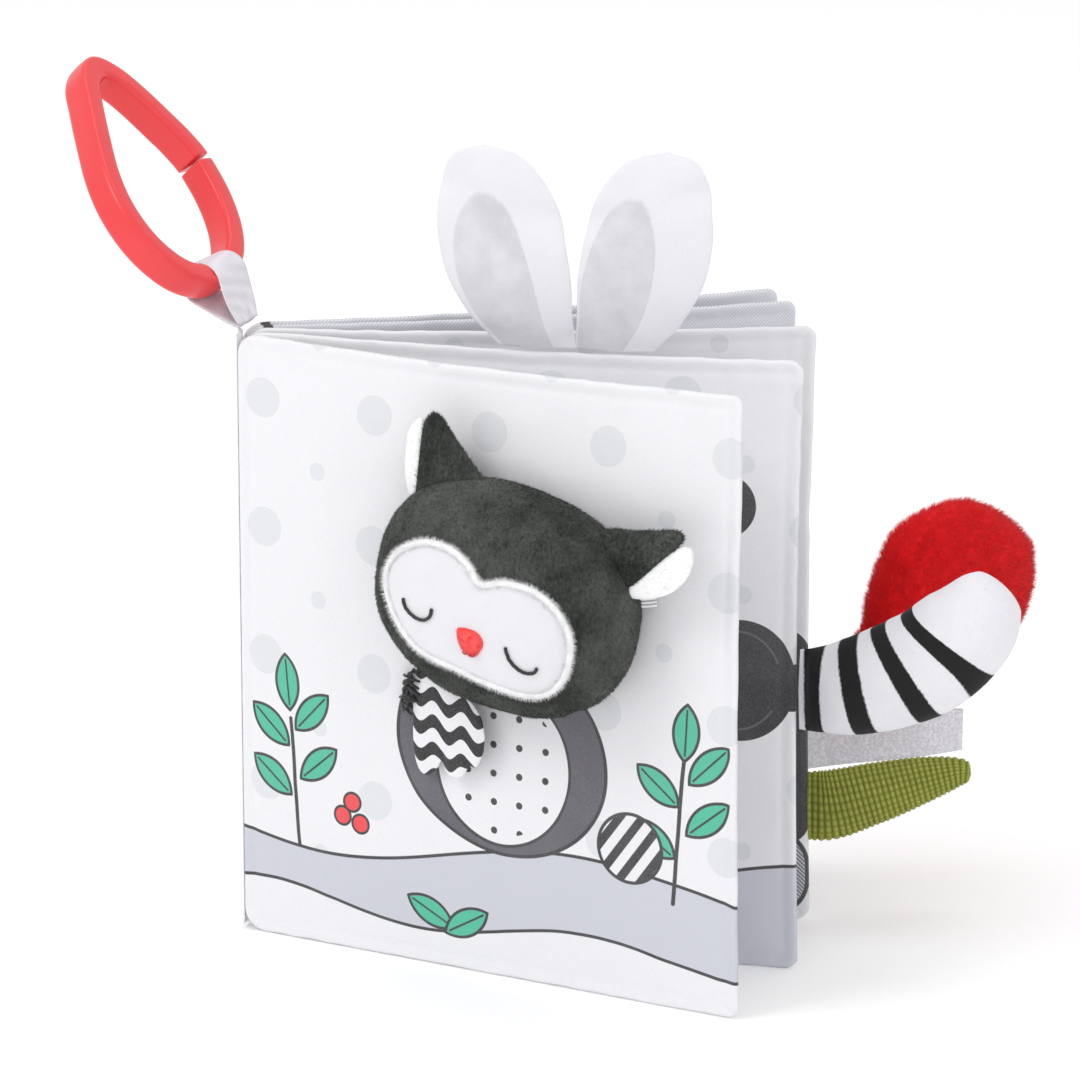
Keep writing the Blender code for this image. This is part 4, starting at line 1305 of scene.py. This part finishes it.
@dataclass
class StuffedTail:
    """A stuffed tail on a leaf's free edge, flat at its root and full at its end."""

    where: LeafFrame
    node: str
    slot: str
    up: float
    reach: float
    rise: float
    size: Pair
    path: Rows
    widths: tuple[float, ...]
    depths: tuple[float, ...]
    pile: Pile
    bare: float = 0
    cells: tuple[int, int] = (72, 96)
    ribs: float = 0
    root_half: float = 0.35

    def build(self, material: Material) -> None:
        """Make the tail, combed towards its end and bare at its root."""
        edge = sewn_edge(LEAF_WIDTH, self.up, LEAF_HEIGHT)
        sizes = list(zip(self.widths, self.depths))
        steps = np.linspace(0, 1, 201)
        line = curve_through(self.path, steps) * (self.reach, self.rise)
        run = np.concatenate([[0], np.cumsum(np.linalg.norm(np.diff(line, axis=0), axis=1))])

        def along(t: Array) -> Array:
            return np.interp(t, steps, run) / run[-1]

        def form(s: Array, t: Array) -> tuple[Array, Array, Array]:
            centre = curve_through(self.path, t) * (self.reach, self.rise)
            ahead = (curve_through(self.path, t + 0.01) - curve_through(self.path, t - 0.01))
            ahead = ahead * (self.reach, self.rise)
            ahead[t < 0.02] = (1, 0)
            ahead = unit(ahead)
            row = curve_through(sizes, t)
            end = np.sqrt(np.clip(1 - (np.clip(t - 0.93, 0, 1) / 0.07) ** 2, 0, 1))
            end = np.where(t < 1e-6, 0, end)
            a = 2 * np.pi * s
            wide = self.size[0] * np.maximum(row[:, 0], 0.02) * end
            deep = self.size[1] * np.maximum(row[:, 1], 0) * end
            deep = np.maximum(deep * ease(t, 0.12) ** 2, self.root_half * (end > 0))
            lumps = 1 + 0.03 * wander(centre[:, 0] + 9 * np.cos(a), 9 * np.sin(a), 8, self.up)
            knob = 0.35 + 0.65 * np.abs(np.sin(13 * a))
            rib = 0.55 * np.abs(np.sin(np.pi * self.ribs * along(t))) * knob * ease(t, 0.05)
            ride = wide * lumps * np.cos(a) + rib * np.cos(a)
            x = centre[:, 0] - ahead[:, 1] * ride
            z = centre[:, 1] + ahead[:, 0] * ride
            return x, (deep * lumps + rib) * np.sin(a), z

        def place(s: Array, t: Array) -> Array:
            x, n, z = form(s, t)
            return self.where.world(edge + x, n, self.up + z)

        def uv(s: Array, t: Array) -> Array:
            if self.ribs:
                return np.stack([s, along(t)], axis=1)
            x, _, z = form(s, t)
            return np.stack([x, z], axis=1) * 0.01

        obj = Bench.cloth(f"{self.node}_pile", self.cells, place, uv=uv)
        turn = math.radians(self.where.turn)
        combed = steady(math.cos(turn), math.sin(turn), 0.35)
        root = np.array(self.where.point(edge, 0, self.up))

        def grown(p: Array) -> Array:
            return 1 * (np.linalg.norm(p - root, axis=1) > self.bare * MM)

        Bench.grow(obj, self.pile, combed, grown)
        give(obj, material, self.node, self.slot, self.node, fill=0.8)


@dataclass
class SatinFlap:
    """The flat satin flap under the red tail."""

    where: LeafFrame
    up: float = 40.5
    length: float = 48
    root: float = 19.5
    end: float = 11.4
    thick: float = 0.7

    def build(self, material: Material) -> None:
        """Make the flap with its slight wave and turned edges."""
        edge = sewn_edge(LEAF_WIDTH, self.up, LEAF_HEIGHT)

        def place(s: Array, t: Array) -> Array:
            half = (self.root + (self.end - self.root) * s) / 2
            z = self.up - 0.96 * s + half * (2 * t - 1)
            rim = np.minimum(1 - s, inset(t))
            hem = 0.18 * np.exp(-((rim - 0.07) / 0.03) ** 2)
            wave = 2 * np.pi * s
            n = np.sin(wave) + 0.5 * wander(s * self.length, z, 14, 3) * ease(s, 0.2) + hem
            return self.where.world(edge + s * self.length, n - self.thick / 2, z)

        obj = Bench.cloth("satin_flap_cloth", (64, 28), place, self.thick * MM)
        give(obj, material, "satin_flap", "grey_satin", "satin_flap")


# Ribbon and ring

@dataclass
class Hanger:
    """The satin ribbon loop at the top of the spine, and the split ring in it."""

    origin: Triple = (-0.8067, -0.5993, 161.0824)
    eye: float = 14.5
    eye_radius: float = 5.6
    ribbon_half: float = 5.5
    foot_half: float = 2.7
    cloth: float = 0.6
    axial: float = 8.6
    radial: float = 6
    flatness: float = 0.42
    gap: float = 0.5
    tip: float = 5
    path: Rows = (
        (26.6, 31.5), (26, 38.4), (24, 44.9), (20.6, 54.3), (16.7, 61.2), (11.3, 65), (4.6, 62),
        (-0.4, 56), (-7.8, 46.2), (-15.3, 35.1), (-19.2, 25), (-19.5, 15), (-15.9, 6.5),
        (-9.4, 1.5), (0, 0), (10.4, 3.7), (18.5, 11), (24, 20.8))
    axes: Rows = (
        (0.74199, 0.04148, 0.66913), (-0.05582, 0.99844, 0), (-0.66809, -0.03735, 0.74314))

    def world(self, local: Array) -> Array:
        """Return places in the book's frame from the ribbon's own axes."""
        return (np.array(self.origin) + local @ np.array(self.axes)) * MM

    def loop(self, t: Array) -> Array:
        """Return places on the ribbon's loop, from one foot over the bar to the other."""
        touch = math.acos(self.eye_radius / self.eye)
        foot, start = 0.5, -math.pi / 2 + touch
        path = [(foot, 0.4)]
        first = (self.eye_radius * math.cos(start), self.eye + self.eye_radius * math.sin(start))
        for k in (0.25, 0.5, 0.75):
            path.append((foot + (first[0] - foot) * k - 0.35 * math.sin(math.pi * k), first[1] * k))
        for k in range(15):
            a = start + (2 * math.pi - 2 * touch) * k / 14
            path.append((self.eye_radius * math.cos(a), self.eye + self.eye_radius * math.sin(a)))
        path += [(-x, z) for x, z in path[3::-1]]
        return curve_through(path, t)

    def ribbon(self, material: Material, thread: Material) -> None:
        """Make the ribbon, gathered at its foot, and its picot edges."""
        def local(s: Array, t: Array) -> Array:
            at = self.loop(t)
            rise = np.clip(at[:, 1] / self.eye, 0, 1)
            half = self.foot_half + (self.ribbon_half - self.foot_half) * ease(rise, 0.8)
            across = (2 * s - 1) * half
            fold = 0.35 * np.cos(np.pi * 2.5 * (2 * s - 1)) * (1 - rise) ** 2
            turn = np.radians(10 + 18 * (1 - ease(rise, 0.8)))
            x = at[:, 0] + fold + across * np.sin(turn)
            return np.stack([x, across * np.cos(turn), at[:, 1]], axis=1)

        obj = Bench.cloth("hang_ribbon_satin", (20, 110), lambda s, t: self.world(local(s, t)),
                          self.cloth * MM, 0)
        give(obj, material, "ribbon", "ribbon_satin", "hang_ribbon")
        edges = []
        for side in (0, 1):
            t = np.linspace(0.01, 0.99, 150)
            at = local(np.full_like(t, side), t)
            at[:, 1] += (side * 2 - 1) * 0.34 * np.where(np.arange(150) % 2, 1, -0.4)
            edges.append([Vector(p) for p in self.world(at)])
        give(Bench.threads("ribbon_picots", edges, 0.24 * MM, sides=1), thread, "ribbon",
             "ribbon_satin")

    def ring(self, material: Material) -> None:
        """Make the ring as a bevelled band with a faint parting line and rounded cut ends."""
        count = len(self.path)
        reach = math.dist(self.path[0], self.path[1]) * count
        cut = self.gap / 2 / reach

        def place(s: Array, t: Array) -> Array:
            share = cut + (1 - 2 * cut) * t
            at = loop_through(self.path, share)
            run = unit(loop_through(self.path, share + 0.002)
                       - loop_through(self.path, share - 0.002))
            out = np.stack([run[:, 1], -run[:, 0]], axis=1)
            tip = np.exp(-((share * count - self.tip) / 0.9) ** 2)
            a = 2 * np.pi * s
            radial = self.radial / 2 * rounded(np.cos(a), self.flatness)
            axial = self.axial / 2 * rounded(np.sin(a), self.flatness)
            radial = np.where(radial < 0, radial * (1 + 0.4 * tip), radial)
            radial = radial + 0.1 * np.sign(radial) * np.exp(-(axial / 0.25) ** 2)
            near = inset(t) * 180
            end = np.where(near < 1e-6, 0, 0.84 + 0.16 * round_over(near))
            at = at + out * (radial * end)[:, None]
            return self.world(np.stack([axial * end, at[:, 0], at[:, 1] + self.eye], axis=1))

        obj = Bench.cloth("link_ring_plastic", (56, 320), place)
        give(obj, material, "ring", "red_plastic", "link_ring")


# Finishes, light and camera

@dataclass(frozen=True)
class WaveCloth:
    """White cloth printed with wavy black bands."""

    name: str
    size: Pair = (23.2, 27)

    def make(self) -> Material:
        """Return the material: wavy bands with a thread grain."""
        board = Board(self.name)
        here = board.spot()
        page = Drawing(board, WHITE, *self.size)
        wave = page.z + page.u * 0.14 + (page.u * (2 * math.pi / 9.4)).sine() * 1.5
        page.lay(wave.work("PINGPONG", 3.6) - 1.8, BLACK)
        grain = board.noise(here, 0.42, 1)
        ink = board.mix((grain - 0.42) * 0.3, page.ink, (0.42, 0.42, 0.45))
        soft = board.noise(here, 4, 3, 0.6)
        return board.finish(ink, board.noise(here, 4) * 0.12 + 0.56,
                            grain * 0.012 + soft * 0.16, Sheen_Weight=0.1)


STRIPES = ((4.4, -0.025, 0.0007, 2.75, 0.01), (16.8, -0.209, -0.0022, 2.9, -0.009),
           (33.2, -0.452, -0.0125, 3.2, -0.02), (48.5, 0.162, -0.0478, 3.9, -0.01))
FINISHES = {
    "plush": PileFinish("dark plush", (0.102, 0.108, 0.098), (0.027, 0.03, 0.026), 15, 0.6, 0.3,
        0.1, (0.8, 0.82, 0.78)),
    "fleece": PileFinish("white fleece", (0.745, 0.74, 0.775), (0.72, 0.715, 0.75), 5, 0.5, 0.03,
        0.05),
    "fluff": PileFinish("fluffy edging", (0.97, 0.97, 0.97), (0.92, 0.92, 0.93), 2, 0.3, 0.05,
        0.1),
    "nose": PileFinish("coral fleece", (1, 0.165, 0.155), (0.92, 0.085, 0.085), 1.8, 0.4, 0.06,
        0.1, (1, 0.7, 0.7)),
    "left_ear": PileFinish("left ear fleece", (0.765, 0.762, 0.8), (0.74, 0.737, 0.775), 9, 0.5,
        0.02, 0.05, inner=(0.49, 0.49, 0.515)),
    "right_ear": PileFinish("right ear fleece", (0.765, 0.762, 0.8), (0.74, 0.737, 0.775), 9,
        0.5, 0.02, 0.05, inner=(0.49, 0.49, 0.515), inner_at=(0.32, 0.3)),
    "striped": PileFinish("striped plush", (0.775, 0.765, 0.8), (0.75, 0.74, 0.775), 5, 0.5,
        0.03, 0.05, stripes=STRIPES),
    "fur": PileFinish("red fur", (1, 0.024, 0.032), (0.95, 0.016, 0.02), 6, 0.5, 0.15, 0.35,
        (1, 0.3, 0.3)),
    "green": PileFinish("green chenille", (0.455, 0.477, 0.103), (0.135, 0.157, 0.02), 3, 0.45,
        0.1, 0.1, (0.8, 0.9, 0.4), knobs=(30, 26)),
    "satin": SatinFinish("grey satin", (0.8, 0.8, 0.85), (0.55, 0.55, 0.6), 0, 0.02, 0.45),
    "ribbon": SatinFinish("ribbon satin", (0.74, 0.71, 0.76), (0.62, 0.59, 0.645), 2.4, 0.006),
    "plastic": PlasticFinish("red plastic", (0.8, 0.052, 0.058), (0.73, 0.042, 0.048)),
    "black_thread": SatinFinish("black thread", (0.02, 0.02, 0.022), (0.008, 0.008, 0.009), 0.4,
        0.05, 0.5),
    "white_thread": SatinFinish("white thread", (0.88, 0.88, 0.9), (0.74, 0.74, 0.76), 0.4, 0.05,
        0.45),
    "red_thread": SatinFinish("red thread", (0.42, 0.02, 0.03), (0.25, 0.01, 0.015), 0.4, 0.05,
        0.5),
    "spine": ClothFinish("spine cloth"),
    "film": SatinFinish("crinkle film", (0.7, 0.76, 0.8), (0.6, 0.66, 0.7), 2.2, 0.03, 0.16),
    "wadding": PileFinish("wadding", (0.86, 0.86, 0.84), (0.74, 0.74, 0.72), 6, 0.7),
    "wave": WaveCloth("wavy cloth"),
}


class Looks:
    """Every finish that the pieces share, one attribute for each row of the table."""

    def __init__(self) -> None:
        """Make the materials."""
        for key, finish in FINISHES.items():
            setattr(self, key, finish.make())


@dataclass
class Studio:
    """Plain pale floor, soft lights and the camera."""

    azimuth: float = 30.1
    elevation: float = 14.3
    distance: float = 1.4
    target: Triple = (0.0857, -0.0006, 0.1148)
    lens: float = 186

    def lamp(self, name: str, place: Triple, size: float, power: float) -> None:
        """Hang one soft square lamp that looks at the book."""
        light = bpy.data.lights.new(name, "AREA")
        light.size = size
        light.energy = power
        obj = Bench.add(name, light)
        obj.location = place
        way = Vector(self.target) - Vector(place)
        obj.rotation_euler = way.to_track_quat("-Z", "Y").to_euler()

    def build(self) -> None:
        """Set the floor, the lights and the camera."""
        bpy.ops.object.select_all(action="DESELECT")
        bpy.ops.mesh.primitive_plane_add(size=14, location=(0, 0, 0))
        floor = bpy.context.active_object
        floor.name = "floor"
        board = Board("pale floor")
        cloud = board.noise(board.spot(), 900) * 0.3
        tone = board.mix(cloud, (0.93, 0.93, 0.935), (0.91, 0.91, 0.92))
        floor.data.materials.append(board.finish(tone, 0.8, None, Emission_Color=(1, 1, 1),
                                                 Emission_Strength=0.13))
        world = bpy.data.worlds.new("studio air")
        world.use_nodes = True
        air = world.node_tree.nodes["Background"].inputs
        air[0].default_value, air[1].default_value = (1, 1, 1, 1), 0.86
        bpy.context.scene.world = world
        for name, place, size, power in (("key", (-0.55, -1.15, 1.25), 0.7, 7),
                                         ("fill", (1.3, -0.9, 0.8), 0.9, 2.8),
                                         ("top", (0.1, 0.3, 1.5), 0.9, 3)):
            self.lamp(name, place, size, power)
        bpy.context.scene.view_settings.view_transform = "Standard"
        az, el = math.radians(self.azimuth), math.radians(self.elevation)
        back = Vector((math.sin(az) * math.cos(el), -math.cos(az) * math.cos(el), math.sin(el)))
        lens = bpy.data.cameras.new("camera")
        lens.lens = self.lens
        lens.sensor_width = 36
        camera = Bench.add("camera", lens)
        camera.location = Vector(self.target) + back * self.distance
        camera.rotation_euler = (-back).to_track_quat("-Z", "Y").to_euler()
        bpy.context.scene.camera = camera


STRIPED_TAIL = StuffedTail(
    LEAVES["leaf_2"], "striped_tail", "striped_plush", up=74.5, reach=53, rise=30, size=(28, 25),
    path=((0, 0), (0.12, 0.01), (0.3, 0.08), (0.6, 0.3), (0.797, 0.6), (0.915, 0.86),
          (0.985, 1)),
    widths=(0.37, 0.4, 0.45, 0.49, 0.455, 0.35, 0.22),
    depths=(0.014, 0.3, 0.44, 0.5, 0.5, 0.38, 0.2),
    pile=Pile(14000, length=0.5, width=0.11, lean=0.85, seed=74))
RED_TAIL = StuffedTail(
    LEAVES["leaf_4"], "red_tail", "red_fur", up=58, reach=57.8, rise=40, size=(42, 24),
    path=((0, -0.02), (0.14, -0.06), (0.3, -0.07), (0.48, 0.08), (0.61, 0.27), (0.715, 0.45),
          (0.8, 0.615), (0.885, 0.775), (0.956, 0.91), (1, 1)),
    widths=(0.12, 0.12, 0.14, 0.25, 0.385, 0.475, 0.5, 0.43, 0.31, 0.18),
    depths=(0.014, 0.28, 0.38, 0.45, 0.5, 0.5, 0.46, 0.38, 0.28, 0.16),
    pile=Pile(36000, length=3, width=0.24, lean=0.42, seed=58), bare=16)
GREEN_TAIL = StuffedTail(
    LEAVES["leaf_3"], "green_tail", "green_chenille", up=31, reach=42, rise=9, size=(18.6, 10),
    cells=(156, 240), ribs=30,
    path=((-0.025, 0), (0.14, 0.05), (0.4, 0.38), (0.7, 0.78), (0.9, 1), (1, 1)),
    widths=(0.49, 0.48, 0.42, 0.31, 0.2, 0.12), depths=(0.035, 0.34, 0.5, 0.45, 0.32, 0.14),
    pile=Pile(9000, length=0.6, width=0.12, lean=0.3, seed=31))


def main() -> None:
    """Build the stage and then the book, sub-assembly by sub-assembly."""
    logging.basicConfig(level=logging.INFO, format="%(name)s %(message)s")
    Studio().build()
    looks = Looks()
    for name, front, back, seed in (("front_cover", Print.COVER, Print.DOTS, 1),
                                    ("leaf_2", Print.MEADOW, Print.HATCH, 2),
                                    ("leaf_3", Print.BANDS, Print.DOTS, 3),
                                    ("leaf_4", Print.HATCH, Print.MEADOW, 4),
                                    ("back_cover", Print.HATCH, Print.DOTS, 5)):
        Leaf(LEAVES[name], front, back, seed).build(looks.film, looks.wadding)
    Spine().build(looks.spine)
    cover = LEAVES["front_cover"]
    PlushHead(cover).build(looks)
    WingFlap(cover).build(looks.wave, looks.black_thread)
    FloppyEar(LEAVES["leaf_2"], "left_floppy_ear", "left_ear", 77.6, 1).build(looks.left_ear)
    FloppyEar(LEAVES["leaf_2"], "right_floppy_ear", "right_ear", 98.4, -1).build(looks.right_ear)
    STRIPED_TAIL.build(looks.striped)
    RED_TAIL.build(looks.fur)
    GREEN_TAIL.build(looks.green)
    SatinFlap(LEAVES["leaf_4"]).build(looks.satin)
    hanger = Hanger()
    hanger.ribbon(looks.ribbon, looks.white_thread)
    hanger.ring(looks.plastic)


if __name__ == "__main__":
    main()
